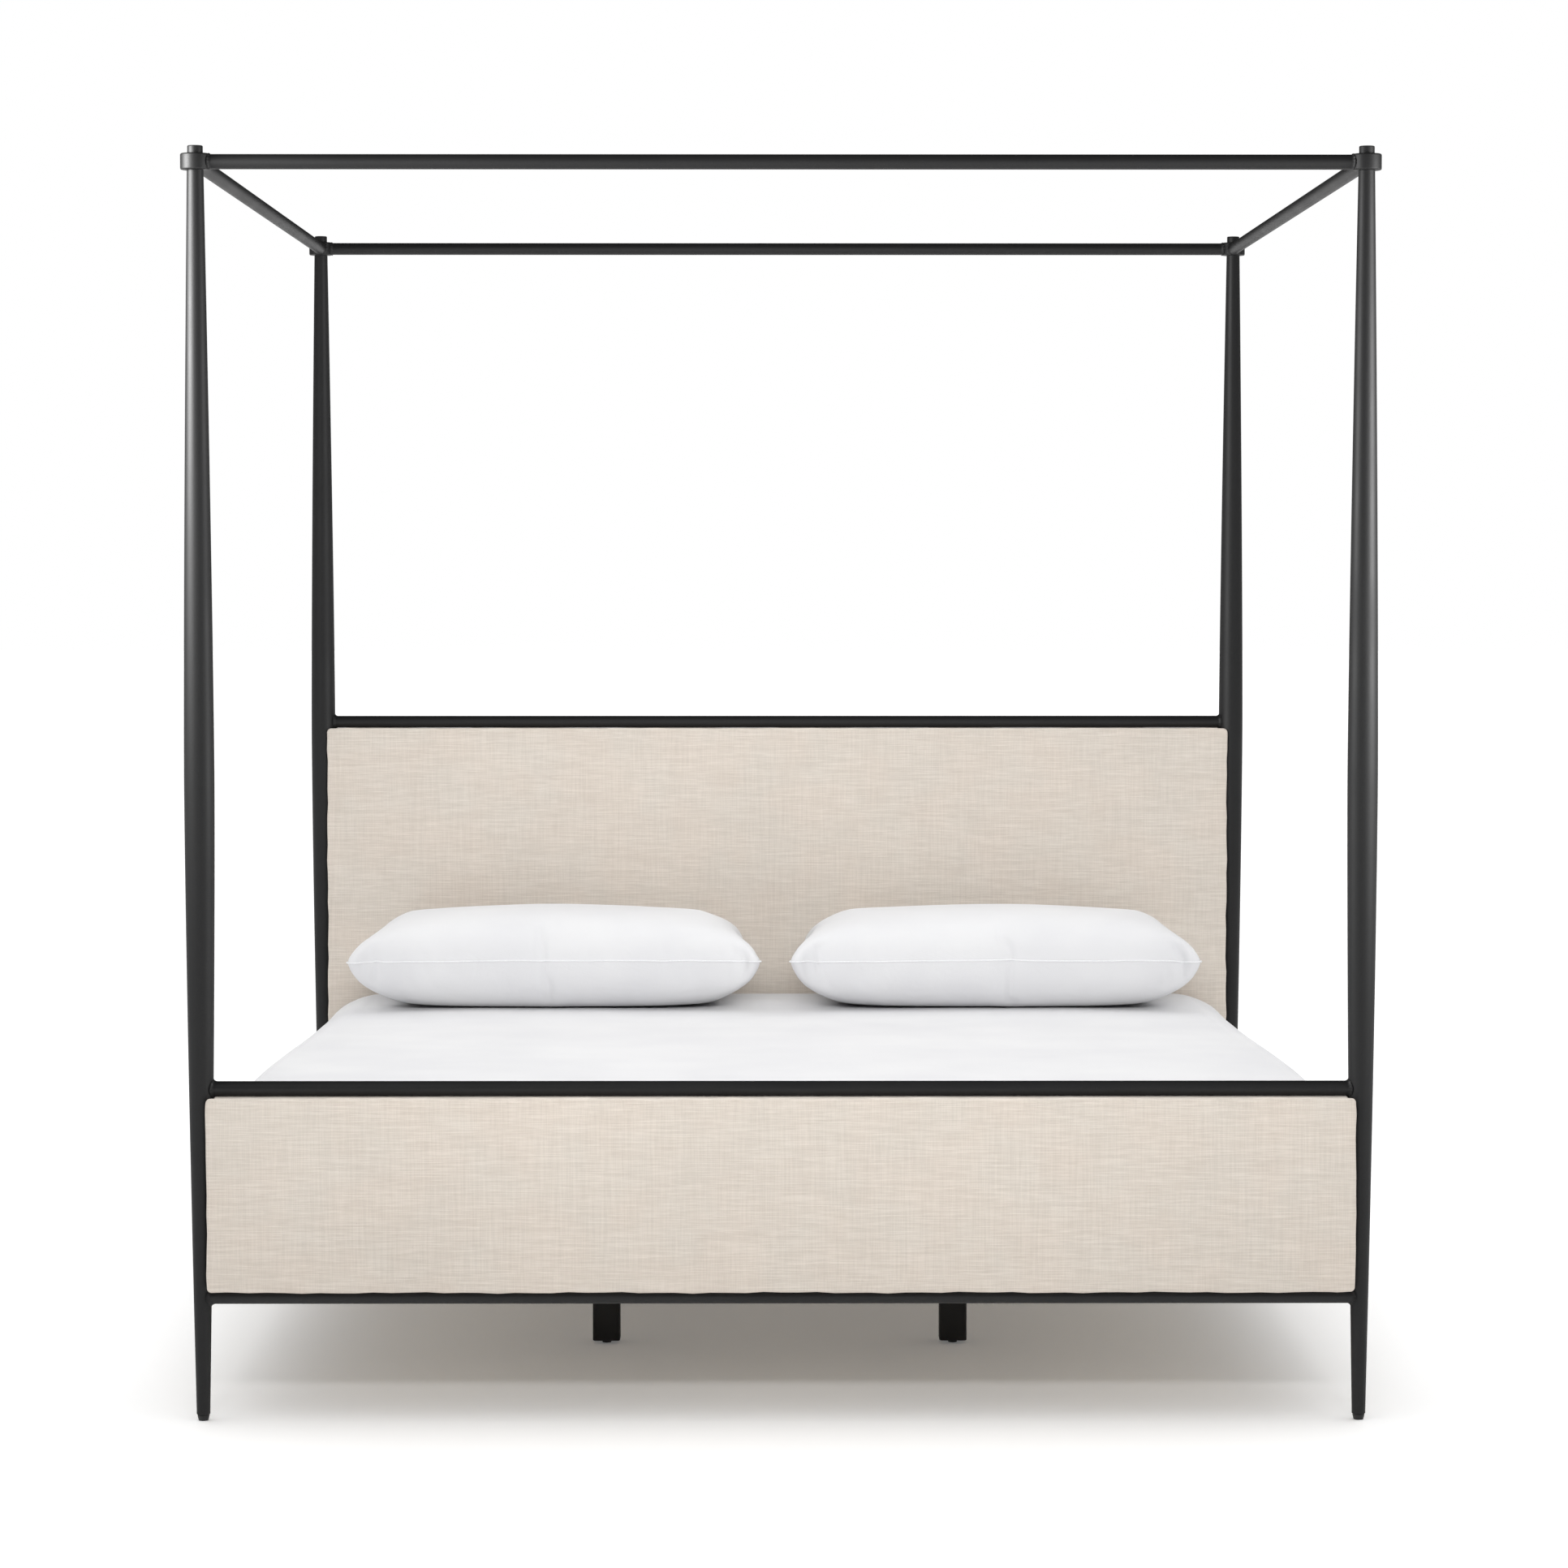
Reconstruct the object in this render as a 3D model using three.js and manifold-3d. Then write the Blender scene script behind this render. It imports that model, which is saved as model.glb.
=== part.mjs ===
// King-size four-poster canopy bed. A black iron frame with spindle-shaped posts carries linen-covered
// head and foot panels, steel side rails, a slatted base on two middle beams, a mattress in a fitted sheet
// and two pillows. Millimetres, +Z up. The origin is on the floor under the middle of the bed, the head end
// is towards +Y, and left and right are as seen from the foot end.

import * as THREE from "three";
import { mergeVertices } from "three/addons/utils/BufferGeometryUtils.js";
import Module from "manifold-3d";

const wasm = await Module();
wasm.setup();

// Driving dimensions
const gap = 0.3; // between pieces that touch
const postSpacingX = 1970;
const postSpacingY = 2120;
const bedHeight = 2160;
const canopyAxisHeight = 2133;
const headRailAxisHeight = 1112;
const footRailAxisHeight = 568;
const lowRailAxisHeight = 212.4;
const tube = { radius: 12.7, wall: 2 }; // every round rail
const segments = 16; // sides of a round section, and of a small round piece
const smallSegments = 12;

const collar = { radius: 25, height: 27.5, bore: 6.5, edge: 2, spigotRadius: 9.9, spigotReach: 57 };
const finial = { radius: 13.1, shank: 6, shankFoot: 2085, edge: 2 };
const post = {
  widestRadius: 25.75,
  widestHeight: 1095,
  topRadius: 14,
  footRadius: 11.5,
  footHeight: 9.5,
  upperBend: 1.35, // how the taper curves above the widest point, and below it
  lowerBend: 1.5,
  wall: 2.5,
  studBore: 6.4, // top thread, for the finial's shank
  studBoreFoot: 2078,
  glideBore: 4.4, // bottom thread, for the glide's stem
  glideBoreTop: 45,
};
post.top = canopyAxisHeight - collar.height / 2 - gap;

const panel = { core: 28, pad: 17.7, corner: 12, edge: 4, gapToRail: 0.7, gapToPost: 1.5 };
const panelHalfDepth = panel.core / 2 + gap + panel.pad;

const sideRail = { thickness: 25, foot: 199.7, height: 110, wall: 2, corner: 4, halfLength: 1046.5 };
const sideRailInnerX = postSpacingX / 2 - sideRail.thickness / 2;
const ledge = { width: 40, wall: 3, top: 257.7, halfLength: 980, weld: 1 };
const bracket = { thickness: 20, foot: 228, height: 72, reach: 960 };
const bolt = { head: 6.5, headHeight: 5, shank: 4, length: 20, y: 1000, heights: [242, 286] };

const beam = { x: 324, size: 40, wall: 2, halfLength: 1026, corner: 3 };
const saddle = { plate: 5, lip: 3, lipHeight: 14, reach: 1002, weld: 1.9 };
const leg = { y: 312, size: 50.8, wall: 2.5, footHeight: 6.3, corner: 3, flange: 4, flangeReach: 18 };
const postGlide = { radius: 9, height: 9.2, edge: 1.2, stemRadius: 4, stemTop: 37 };
const legGlide = { radius: 8.4, height: 6, edge: 0.8, stemRadius: 4, stemTop: 34 };

const slat = { count: 14, width: 80, thickness: 17, halfLength: 966, span: 1010 };
const strap = { x: [-640, 0, 640], width: 30, sunk: 1, proud: 0.5 };

const bedding = { halfWidth: 965, halfLength: 1016, top: 529, corner: 70, edge: 32, cloth: 1.5, tuck: 90 };
bedding.foot = ledge.top + gap + slat.thickness + strap.proud + gap;
const pillow = { x: 456, y: 779, halfWidth: 428, halfDepth: 234, rise: 101, drop: 105, pull: 0.07 };

// Looks
const iron = new THREE.MeshStandardMaterial({ color: 0x1c1c1c, roughness: 0.48, metalness: 0.55 });
const zinc = new THREE.MeshStandardMaterial({ color: 0x9a9c9e, roughness: 0.4, metalness: 0.9 });
const nylon = new THREE.MeshStandardMaterial({ color: 0x171717, roughness: 0.6, metalness: 0 });
const linen = new THREE.MeshStandardMaterial({ color: 0xdacfc4, roughness: 0.95, metalness: 0 });
const plywood = new THREE.MeshStandardMaterial({ color: 0xc9a777, roughness: 0.7, metalness: 0 });
const pine = new THREE.MeshStandardMaterial({ color: 0xd8b98a, roughness: 0.65, metalness: 0 });
const ticking = new THREE.MeshStandardMaterial({ color: 0xe6e3dc, roughness: 0.9, metalness: 0 });
const cotton = new THREE.MeshStandardMaterial({ color: 0xf2f2f3, roughness: 0.9, metalness: 0 });

// Solids: a geometry becomes a manifold solid for cutting and joining, and comes back as a geometry.
function solid(geometry) {
  const bare = geometry.clone();
  bare.deleteAttribute("normal");
  bare.deleteAttribute("uv");
  const merged = mergeVertices(bare, 1e-3);
  return new wasm.Manifold(
    new wasm.Mesh({
      numProp: 3,
      vertProperties: new Float32Array(merged.attributes.position.array),
      triVerts: new Uint32Array(merged.index.array),
    }),
  );
}

function geometryOf(manifold) {
  const mesh = manifold.getMesh();
  const geometry = new THREE.BufferGeometry();
  geometry.setAttribute("position", new THREE.BufferAttribute(mesh.vertProperties, 3));
  geometry.setIndex(new THREE.BufferAttribute(mesh.triVerts, 1));
  geometry.computeVertexNormals();
  return geometry;
}

// A round solid about the Z axis. The profile is [radius, height] points, running up the outside.
function turned(profile, around = segments) {
  const points = profile.map(([radius, height]) => new THREE.Vector2(radius, height));
  return new THREE.LatheGeometry(points, around).rotateX(Math.PI / 2);
}

// A box from its lowest to its highest corner.
function block(low, high) {
  const size = high.map((value, axis) => value - low[axis]);
  const centre = high.map((value, axis) => (value + low[axis]) / 2);
  return new THREE.BoxGeometry(...size).translate(...centre);
}

function roundedRectangle(width, height, corner, Kind = THREE.Shape) {
  const x = width / 2 - corner;
  const y = height / 2 - corner;
  const outline = new Kind();
  outline.absarc(x, y, corner, 0, Math.PI / 2);
  outline.absarc(-x, y, corner, Math.PI / 2, Math.PI);
  outline.absarc(-x, -y, corner, Math.PI, 1.5 * Math.PI);
  outline.absarc(x, -y, corner, 1.5 * Math.PI, 2 * Math.PI);
  outline.closePath();
  return outline;
}

// A rectangular tube along Z, centred on it, from height 0 up.
function boxTube(width, depth, corner, wall, length) {
  const section = roundedRectangle(width, depth, corner);
  section.holes.push(roundedRectangle(width - 2 * wall, depth - 2 * wall, corner - wall / 2, THREE.Path));
  return new THREE.ExtrudeGeometry(section, { depth: length, bevelEnabled: false, curveSegments: 1 });
}

// A flat slab with rounded corners and eased edges, standing in the XZ plane and centred on it.
function uprightSlab(width, height, thickness, corner, edge) {
  const section = roundedRectangle(width - 2 * edge, height - 2 * edge, corner - edge);
  const options = { depth: thickness - 2 * edge, bevelSize: edge, bevelThickness: edge, bevelSegments: 2 };
  return new THREE.ExtrudeGeometry(section, { ...options, curveSegments: 2 })
    .translate(0, 0, edge - thickness / 2)
    .rotateX(Math.PI / 2);
}

// A round tube centred on the origin, along X, or along Y when alongY is set.
function roundTube(length, alongY = false) {
  const inner = tube.radius - tube.wall;
  const half = length / 2;
  const corner = [tube.radius, -half];
  const pipe = turned([corner, [tube.radius, half], [inner, half], [inner, -half], corner]);
  return alongY ? pipe.rotateX(Math.PI / 2) : pipe.rotateY(Math.PI / 2);
}

const bed = new THREE.Group();

function place(name, geometry, material, position = [0, 0, 0], parent = bed) {
  const mesh = new THREE.Mesh(geometry, material);
  mesh.name = name;
  mesh.position.set(...position);
  parent.add(mesh);
  return mesh;
}

const ends = [["foot", -1], ["head", 1]];
const sides = [["left", -1], ["right", 1]];
const corners = ends.flatMap(([end, towardsY]) =>
  sides.map(([side, towardsX]) => ({
    name: `${end}_${side}`,
    towardsX,
    towardsY,
    at: [(towardsX * postSpacingX) / 2, (towardsY * postSpacingY) / 2, 0],
  })),
);

// The posts swell from both ends to their widest point, a little below half their height.
function postRadius(height) {
  const upper = height > post.widestHeight;
  const end = upper ? post.top : post.footHeight;
  const endRadius = upper ? post.topRadius : post.footRadius;
  const share = (height - post.widestHeight) / (end - post.widestHeight);
  const bend = upper ? post.upperBend : post.lowerBend;
  return post.widestRadius - (post.widestRadius - endRadius) * share ** bend;
}

function postHeights(steps) {
  const span = post.top - post.footHeight;
  return Array.from({ length: steps + 1 }, (_, i) => post.footHeight + (span * i) / steps);
}

const outerSteps = 11;
const innerSteps = 4;

function postGeometry() {
  const footEdge = 2;
  const outside = postHeights(outerSteps).map((height) => [postRadius(height), height]);
  outside[0] = [postRadius(post.footHeight) - footEdge, post.footHeight];
  outside.splice(1, 0, [postRadius(post.footHeight), post.footHeight + footEdge]);
  const hollow = postHeights(innerSteps)
    .slice(1, -1)
    .reverse()
    .map((height) => [postRadius(height) - post.wall, height]);
  return turned([
    [post.glideBore, post.footHeight],
    ...outside,
    [post.studBore, post.top],
    [post.studBore, post.studBoreFoot],
    [postRadius(post.studBoreFoot) - post.wall, post.studBoreFoot],
    ...hollow,
    [postRadius(post.glideBoreTop) - post.wall, post.glideBoreTop],
    [post.glideBore, post.glideBoreTop],
    [post.glideBore, post.footHeight],
  ]);
}

// The posts' shape a gap larger, which cuts whatever is welded against them.
const postCutter = solid(
  turned([
    [0, post.footHeight],
    ...postHeights(outerSteps).map((height) => [postRadius(height) + gap, height]),
    [0, post.top],
  ]),
);

function addPosts() {
  const geometry = postGeometry();
  for (const corner of corners) place(`post_${corner.name}`, geometry, iron, corner.at);
}

// Screw-in levelling glide: a round pad with a threaded stem.
function glideGeometry(glide) {
  return turned([
    [0, 0],
    [glide.radius - glide.edge, 0],
    [glide.radius, glide.edge],
    [glide.radius, glide.height],
    [glide.stemRadius, glide.height],
    [glide.stemRadius, glide.stemTop],
    [0, glide.stemTop],
  ], smallSegments);
}

function addPostGlides() {
  const geometry = glideGeometry(postGlide);
  for (const corner of corners) place(`post_glide_${corner.name}`, geometry, nylon, corner.at);
}

// Canopy collar: a thick ring over the post's end, with two spigots that the canopy tubes slide onto.
function collarGeometry(towardsX, towardsY) {
  const { radius, height, bore, edge, spigotRadius, spigotReach } = collar;
  const half = height / 2;
  const ring = turned([
    [bore, -half],
    [radius - edge, -half],
    [radius, edge - half],
    [radius, half - edge],
    [radius - edge, half],
    [bore, half],
    [bore, -half],
  ]);
  const start = radius - 6;
  const length = spigotReach - start;
  const spigot = new THREE.CylinderGeometry(spigotRadius, spigotRadius, length, segments);
  const middle = start + length / 2;
  const alongX = spigot.clone().rotateZ(Math.PI / 2).translate(-towardsX * middle, 0, 0);
  const alongY = spigot.clone().translate(0, -towardsY * middle, 0);
  return geometryOf(solid(ring).add(solid(alongX)).add(solid(alongY)));
}

function addCollarsAndFinials() {
  const collarTop = canopyAxisHeight + collar.height / 2;
  const cap = turned([
    [0, finial.shankFoot],
    [finial.shank, finial.shankFoot],
    [finial.shank, collarTop + gap],
    [finial.radius, collarTop + gap],
    [finial.radius, bedHeight - finial.edge],
    [finial.radius - finial.edge, bedHeight],
    [0, bedHeight],
  ]);
  for (const corner of corners) {
    const [x, y] = corner.at;
    const ring = collarGeometry(corner.towardsX, corner.towardsY);
    place(`canopy_collar_${corner.name}`, ring, iron, [x, y, canopyAxisHeight]);
    place(`finial_cap_${corner.name}`, cap, iron, corner.at);
  }
}

// A canopy tube, its ends shaped to the collars.
function canopyTube(spacing, alongY) {
  const inset = 15;
  const radius = collar.radius + gap;
  const ringHeight = 4 * tube.radius;
  const ring = solid(new THREE.CylinderGeometry(radius, radius, ringHeight, segments).rotateX(Math.PI / 2));
  const half = spacing / 2;
  let cut = solid(roundTube(spacing - 2 * inset, alongY));
  for (const reach of [-half, half]) {
    cut = cut.subtract(alongY ? ring.translate(0, reach, 0) : ring.translate(reach, 0, 0));
  }
  return geometryOf(cut);
}

function addCanopyTubes() {
  const across = canopyTube(postSpacingX, false);
  const along = canopyTube(postSpacingY, true);
  for (const [end, way] of ends) {
    place(`canopy_tube_${end}`, across, iron, [0, (way * postSpacingY) / 2, canopyAxisHeight]);
  }
  for (const [side, way] of sides) {
    place(`canopy_tube_${side}`, along, iron, [(way * postSpacingX) / 2, 0, canopyAxisHeight]);
  }
}

// A saddle welded to a low rail, in which a middle beam's end lies. The bed's middle is towards -Y of it.
function saddleSolid() {
  const weldY = postSpacingY / 2 - tube.radius + saddle.weld;
  const half = beam.size / 2 + 1;
  const plateTop = ledge.top - beam.size - gap;
  const outer = half + saddle.lip;
  const plate = block([-outer, saddle.reach, plateTop - saddle.plate], [outer, weldY, plateTop]);
  const lips = [-1, 1].map((way) => {
    const near = way * half;
    const far = way * outer;
    const low = [Math.min(near, far), saddle.reach, plateTop - 1];
    return block(low, [Math.max(near, far), beam.halfLength - 2, plateTop + saddle.lipHeight]);
  });
  return solid(plate).add(solid(lips[0])).add(solid(lips[1]));
}

// The four round rails of the head and foot frames, shaped to the posts.
function addFrameRails() {
  const inset = 8;
  const bare = solid(roundTube(postSpacingX - 2 * inset));
  for (const [end, way] of ends) {
    const y = (way * postSpacingY) / 2;
    const topHeight = end === "head" ? headRailAxisHeight : footRailAxisHeight;
    const seat = way > 0 ? saddleSolid() : saddleSolid().rotate([0, 0, 180]);
    for (const [level, height] of [["top", topHeight], ["low", lowRailAxisHeight]]) {
      let rail = bare.translate(0, y, height);
      for (const [, side] of sides) {
        rail = rail.subtract(postCutter.translate((side * postSpacingX) / 2, y, 0));
        if (level === "low") rail = rail.add(seat.translate(side * beam.x, 0, 0));
      }
      place(`${end}board_${level}_rail`, geometryOf(rail), iron);
    }
  }
}

// Upholstered panel: a plywood core between the rails, with a padded linen face on each side.
function addPanel(end, way, topRailHeight, faces) {
  const foot = lowRailAxisHeight + tube.radius + panel.gapToRail;
  const top = topRailHeight - tube.radius - panel.gapToRail;
  const widest = Math.max(postRadius(foot), postRadius(top));
  const width = postSpacingX - 2 * (widest + panel.gapToPost);
  const y = (way * postSpacingY) / 2;
  const z = (foot + top) / 2;
  const coreInset = 6;
  const core = uprightSlab(width - 2 * coreInset, top - foot - 2 * coreInset, panel.core, panel.corner, 1);
  place(`${end}board_core`, core, plywood, [0, y, z]);
  const pad = uprightSlab(width, top - foot, panel.pad, panel.corner, panel.edge);
  const offset = panelHalfDepth - panel.pad / 2;
  for (const [face, out] of faces) place(`${end}board_${face}_pad`, pad, linen, [0, y + out * offset, z]);
}

// Side rail: a rectangular tube shaped to the posts, with bolt holes in its inner wall at both ends.
function sideRailSolid(way) {
  const length = 2 * sideRail.halfLength;
  const profile = boxTube(sideRail.thickness, sideRail.height, sideRail.corner, sideRail.wall, length);
  const height = sideRail.foot + sideRail.height / 2;
  const x = (way * postSpacingX) / 2;
  let rail = solid(profile.translate(0, 0, -length / 2).rotateX(Math.PI / 2).translate(x, 0, height));
  for (const [, end] of ends) rail = rail.subtract(postCutter.translate(x, (end * postSpacingY) / 2, 0));
  return rail;
}

// A drill along X, a gap wider than a bolt's shank, centred on the origin.
function boltDrill(length) {
  const radius = bolt.shank + gap;
  return solid(new THREE.CylinderGeometry(radius, radius, length, smallSegments).rotateZ(Math.PI / 2));
}

function boltHoles(way) {
  const drill = boltDrill(3 * sideRail.wall).translate(way * sideRailInnerX, 0, 0);
  const holes = ends.flatMap(([, end]) => {
    const y = end * bolt.y;
    return bolt.heights.map((height) => drill.translate(0, y, height));
  });
  return holes.reduce((joined, one) => joined.add(one));
}

// Angle section welded inside a side rail, on which the slats lie.
function slatLedgeSolid(way) {
  const shape = new THREE.Shape();
  const { width, wall, halfLength, weld } = ledge;
  shape.moveTo(weld, 0);
  shape.lineTo(weld, -width);
  shape.lineTo(-wall, -width);
  shape.lineTo(-wall, -wall);
  shape.lineTo(-width, -wall);
  shape.lineTo(-width, 0);
  shape.closePath();
  const angle = new THREE.ExtrudeGeometry(shape, { depth: 2 * halfLength, bevelEnabled: false })
    .translate(0, 0, -halfLength)
    .rotateX(Math.PI / 2);
  if (way < 0) angle.rotateZ(Math.PI);
  return solid(angle.translate(way * sideRailInnerX, 0, ledge.top));
}

function addSideRails() {
  for (const [side, way] of sides) {
    const rail = sideRailSolid(way).subtract(boltHoles(way)).add(slatLedgeSolid(way));
    place(`side_rail_${side}`, geometryOf(rail), iron);
  }
}

// A tongue welded to each post, inside the end of the side rail, and the two bolts that hold the rail to it.
function addRailJoints() {
  const bore = boltDrill(bracket.thickness + 2);
  const half = bracket.thickness / 2;
  for (const corner of corners) {
    const [x, y] = corner.at;
    const near = corner.towardsY * bracket.reach;
    const low = [x - half, Math.min(near, y), bracket.foot];
    const high = [x + half, Math.max(near, y), bracket.foot + bracket.height];
    let tongue = solid(block(low, high)).subtract(postCutter.translate(x, y, 0));
    bolt.heights.forEach((height, index) => {
      tongue = tongue.subtract(bore.translate(x, corner.towardsY * bolt.y, height));
      addRailBolt(corner, height, index === 0 ? "lower" : "upper");
    });
    place(`rail_bracket_${corner.name}`, geometryOf(tongue), iron);
  }
}

function addRailBolt(corner, height, level) {
  const screw = turned([
    [0, -bolt.length],
    [bolt.shank, -bolt.length],
    [bolt.shank, gap],
    [bolt.head, gap],
    [bolt.head - 1, bolt.headHeight],
    [0, bolt.headHeight],
  ], smallSegments).rotateY((-corner.towardsX * Math.PI) / 2);
  const at = [corner.towardsX * sideRailInnerX, corner.towardsY * bolt.y, height];
  place(`rail_bolt_${corner.name}_${level}`, screw, zinc, at);
}

// Middle beams, each on two legs with screw-in glides.
function addMiddleSupports() {
  const length = 2 * beam.halfLength;
  const profile = boxTube(beam.size, beam.size, beam.corner, beam.wall, length)
    .translate(0, 0, -beam.halfLength)
    .rotateX(Math.PI / 2);
  const glide = glideGeometry(legGlide);
  const post = legGeometry();
  for (const [side, way] of sides) {
    place(`support_beam_${side}`, profile, iron, [way * beam.x, 0, ledge.top - beam.size / 2]);
    for (const [end, along] of ends) {
      const at = [way * beam.x, along * leg.y, 0];
      place(`support_leg_${end}_${side}`, post, iron, at);
      place(`leg_glide_${end}_${side}`, glide, nylon, at);
    }
  }
}

// A square leg: a tube with a bottom plate bored for its glide and a flange under the beam.
function legGeometry() {
  const top = ledge.top - beam.size - gap;
  const length = top - leg.footHeight;
  const body = boxTube(leg.size, leg.size, leg.corner, leg.wall, length).translate(0, 0, leg.footHeight);
  const half = leg.size / 2;
  const plateHalf = half - 1;
  const plateTop = leg.footHeight + 5;
  const plate = block([-plateHalf, -plateHalf, leg.footHeight], [plateHalf, plateHalf, plateTop]);
  const reach = half + leg.flangeReach;
  const flange = block([-half, -reach, top - leg.flange], [half, reach, top]);
  const boreRadius = legGlide.stemRadius + 0.4;
  const bore = new THREE.CylinderGeometry(boreRadius, boreRadius, 30, smallSegments).rotateX(Math.PI / 2);
  return geometryOf(solid(body).add(solid(plate)).add(solid(flange)).subtract(solid(bore)));
}

// The slats hang together on three webbing straps, so they roll up as one piece.
function addSlats() {
  const foot = ledge.top + gap;
  const top = foot + slat.thickness;
  const firstY = slat.width / 2 - slat.span;
  const pitch = (-2 * firstY) / (slat.count - 1);
  const parts = [];
  for (let i = 0; i < slat.count; i++) {
    const y = firstY + i * pitch;
    const half = slat.width / 2;
    parts.push(block([-slat.halfLength, y - half, foot], [slat.halfLength, y + half, top]));
  }
  for (const x of strap.x) {
    const half = strap.width / 2;
    const end = -firstY;
    parts.push(block([x - half, -end, top - strap.sunk], [x + half, end, top + strap.proud]));
  }
  place("slat_roll", geometryOf(parts.map(solid).reduce((joined, one) => joined.add(one))), pine);
}

// A cushion-like block: a rounded rectangle in plan, with rounded upper and lower edges.
function softBlock(halfWidth, halfLength, height, corner, edge) {
  const section = roundedRectangle(2 * (halfWidth - edge), 2 * (halfLength - edge), corner - edge);
  const options = { depth: height - 2 * edge, bevelSize: edge, bevelThickness: edge, bevelSegments: 3 };
  return new THREE.ExtrudeGeometry(section, { ...options, curveSegments: 2 }).translate(0, 0, edge);
}

function addMattress() {
  const { halfWidth, halfLength, foot, top, corner, edge, cloth, tuck } = bedding;
  const height = top - foot;
  const inset = cloth + gap;
  const coreHeight = height - 2 * inset;
  const core = softBlock(halfWidth - inset, halfLength - inset, coreHeight, corner - inset, edge - inset);
  place("mattress", core, ticking, [0, 0, foot + inset]);
  const outside = solid(softBlock(halfWidth, halfLength, height, corner, edge));
  const hollow = solid(
    softBlock(halfWidth - cloth, halfLength - cloth, height - 2 * cloth, corner - cloth, edge - cloth),
  );
  const openX = halfWidth - tuck;
  const openY = halfLength - tuck;
  const opening = block([-openX, -openY, -cloth], [openX, openY, 2 * cloth]);
  const sheet = outside.subtract(hollow.translate(0, 0, cloth)).subtract(solid(opening));
  place("fitted_sheet", geometryOf(sheet), cotton, [0, 0, foot]);
}

// A pillow: two crowned faces over a rectangle whose sides pull in between its corners. It is flat below.
function pillowGeometry() {
  const { halfWidth, halfDepth, rise, drop, pull } = pillow;
  const columns = 14;
  const rows = 8;
  const positions = [];
  const indices = [];
  const rowLength = columns + 1;
  const faceSize = rowLength * (rows + 1);
  const flatten = 0.62;
  for (const way of [1, -1]) {
    for (let row = 0; row <= rows; row++) {
      for (let column = 0; column <= columns; column++) {
        const u = Math.sin(((column / columns - 0.5) * Math.PI));
        const v = Math.sin(((row / rows - 0.5) * Math.PI));
        const x = u * halfWidth * (1 - pull * (1 - v * v) * Math.abs(u));
        const y = v * halfDepth * (1 - 1.5 * pull * (1 - u * u) * Math.abs(v));
        const crown = ((1 - u ** 6) * (1 - v ** 4)) ** 0.5;
        const z = way > 0 ? rise * crown : -drop * Math.min(1, crown / flatten);
        positions.push(x, y, z);
      }
    }
  }
  for (const [face, turn] of [[0, false], [faceSize, true]]) {
    for (let row = 0; row < rows; row++) {
      for (let column = 0; column < columns; column++) {
        const a = face + row * rowLength + column;
        const [b, c, d] = [a + 1, a + rowLength + 1, a + rowLength];
        indices.push(...(turn ? [a, c, b, a, d, c] : [a, b, c, a, c, d]));
      }
    }
  }
  const geometry = new THREE.BufferGeometry();
  geometry.setAttribute("position", new THREE.Float32BufferAttribute(positions, 3));
  geometry.setIndex(indices);
  return geometryOf(solid(geometry));
}

function addPillows() {
  const geometry = pillowGeometry();
  const z = bedding.top + gap + pillow.drop;
  for (const [side, way] of sides) place(`pillow_${side}`, geometry, cotton, [way * pillow.x, pillow.y, z]);
}

addPosts();
addPostGlides();
addCollarsAndFinials();
addCanopyTubes();
addFrameRails();
addPanel("head", 1, headRailAxisHeight, [["front", -1], ["back", 1]]);
addPanel("foot", -1, footRailAxisHeight, [["outer", -1], ["inner", 1]]);
addSideRails();
addRailJoints();
addMiddleSupports();
addSlats();
addMattress();
addPillows();

export default bed;
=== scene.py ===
import math

import bmesh
import bpy
import numpy as np
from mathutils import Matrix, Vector


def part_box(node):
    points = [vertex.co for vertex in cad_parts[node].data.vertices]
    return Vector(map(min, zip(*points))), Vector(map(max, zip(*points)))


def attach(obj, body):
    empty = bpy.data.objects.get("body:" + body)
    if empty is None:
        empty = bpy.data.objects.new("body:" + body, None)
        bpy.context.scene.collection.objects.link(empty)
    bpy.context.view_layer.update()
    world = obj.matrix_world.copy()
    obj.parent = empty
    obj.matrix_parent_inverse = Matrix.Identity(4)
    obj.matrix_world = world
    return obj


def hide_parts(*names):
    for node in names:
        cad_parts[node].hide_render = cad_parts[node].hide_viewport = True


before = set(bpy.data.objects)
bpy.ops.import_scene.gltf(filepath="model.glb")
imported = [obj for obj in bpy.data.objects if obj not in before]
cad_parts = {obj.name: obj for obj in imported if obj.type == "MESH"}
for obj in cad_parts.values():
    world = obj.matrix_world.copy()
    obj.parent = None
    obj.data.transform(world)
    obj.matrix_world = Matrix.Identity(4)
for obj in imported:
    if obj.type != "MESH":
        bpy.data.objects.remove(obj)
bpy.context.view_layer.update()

TAU = 2 * math.pi
ENDS = {"foot": -1, "head": 1}
SIDES = {"left": -1, "right": 1}
CORNERS = [(f"{end}_{side}", sx, sy) for end, sy in ENDS.items() for side, sx in SIDES.items()]

# Sizes that the CAD model sets
POST_X, POST_Y = 0.985, 1.060
CANOPY_Z = 2.133
HEAD_RAIL_Z = 1.112
FOOT_RAIL_Z = 0.568
LOW_RAIL_Z = 0.2124
TUBE_RADIUS = 0.0127
TUBE_SIDES = 64
COLLAR_RADIUS = 0.025
COLLAR_HEIGHT = 0.0275
POST_FOOT_Z = 0.0095
POST_TOP_Z = 2.11895
SIDE_RAIL_INNER, SIDE_RAIL_OUTER = 0.9725, 0.9975
WIDEST_Z, WIDEST_RADIUS = 1.095, 0.02575
TOP_RADIUS, FOOT_RADIUS = 0.014, 0.0115


# ---------------------------------------------------------------- materials


def linear(red, green, blue):
    """An sRGB colour from 0 to 255 as the linear colour a shader takes."""
    channels = [value / 255 for value in (red, green, blue)]
    return [c / 12.92 if c < 0.04045 else ((c + 0.055) / 1.055) ** 2.4 for c in channels]


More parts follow.
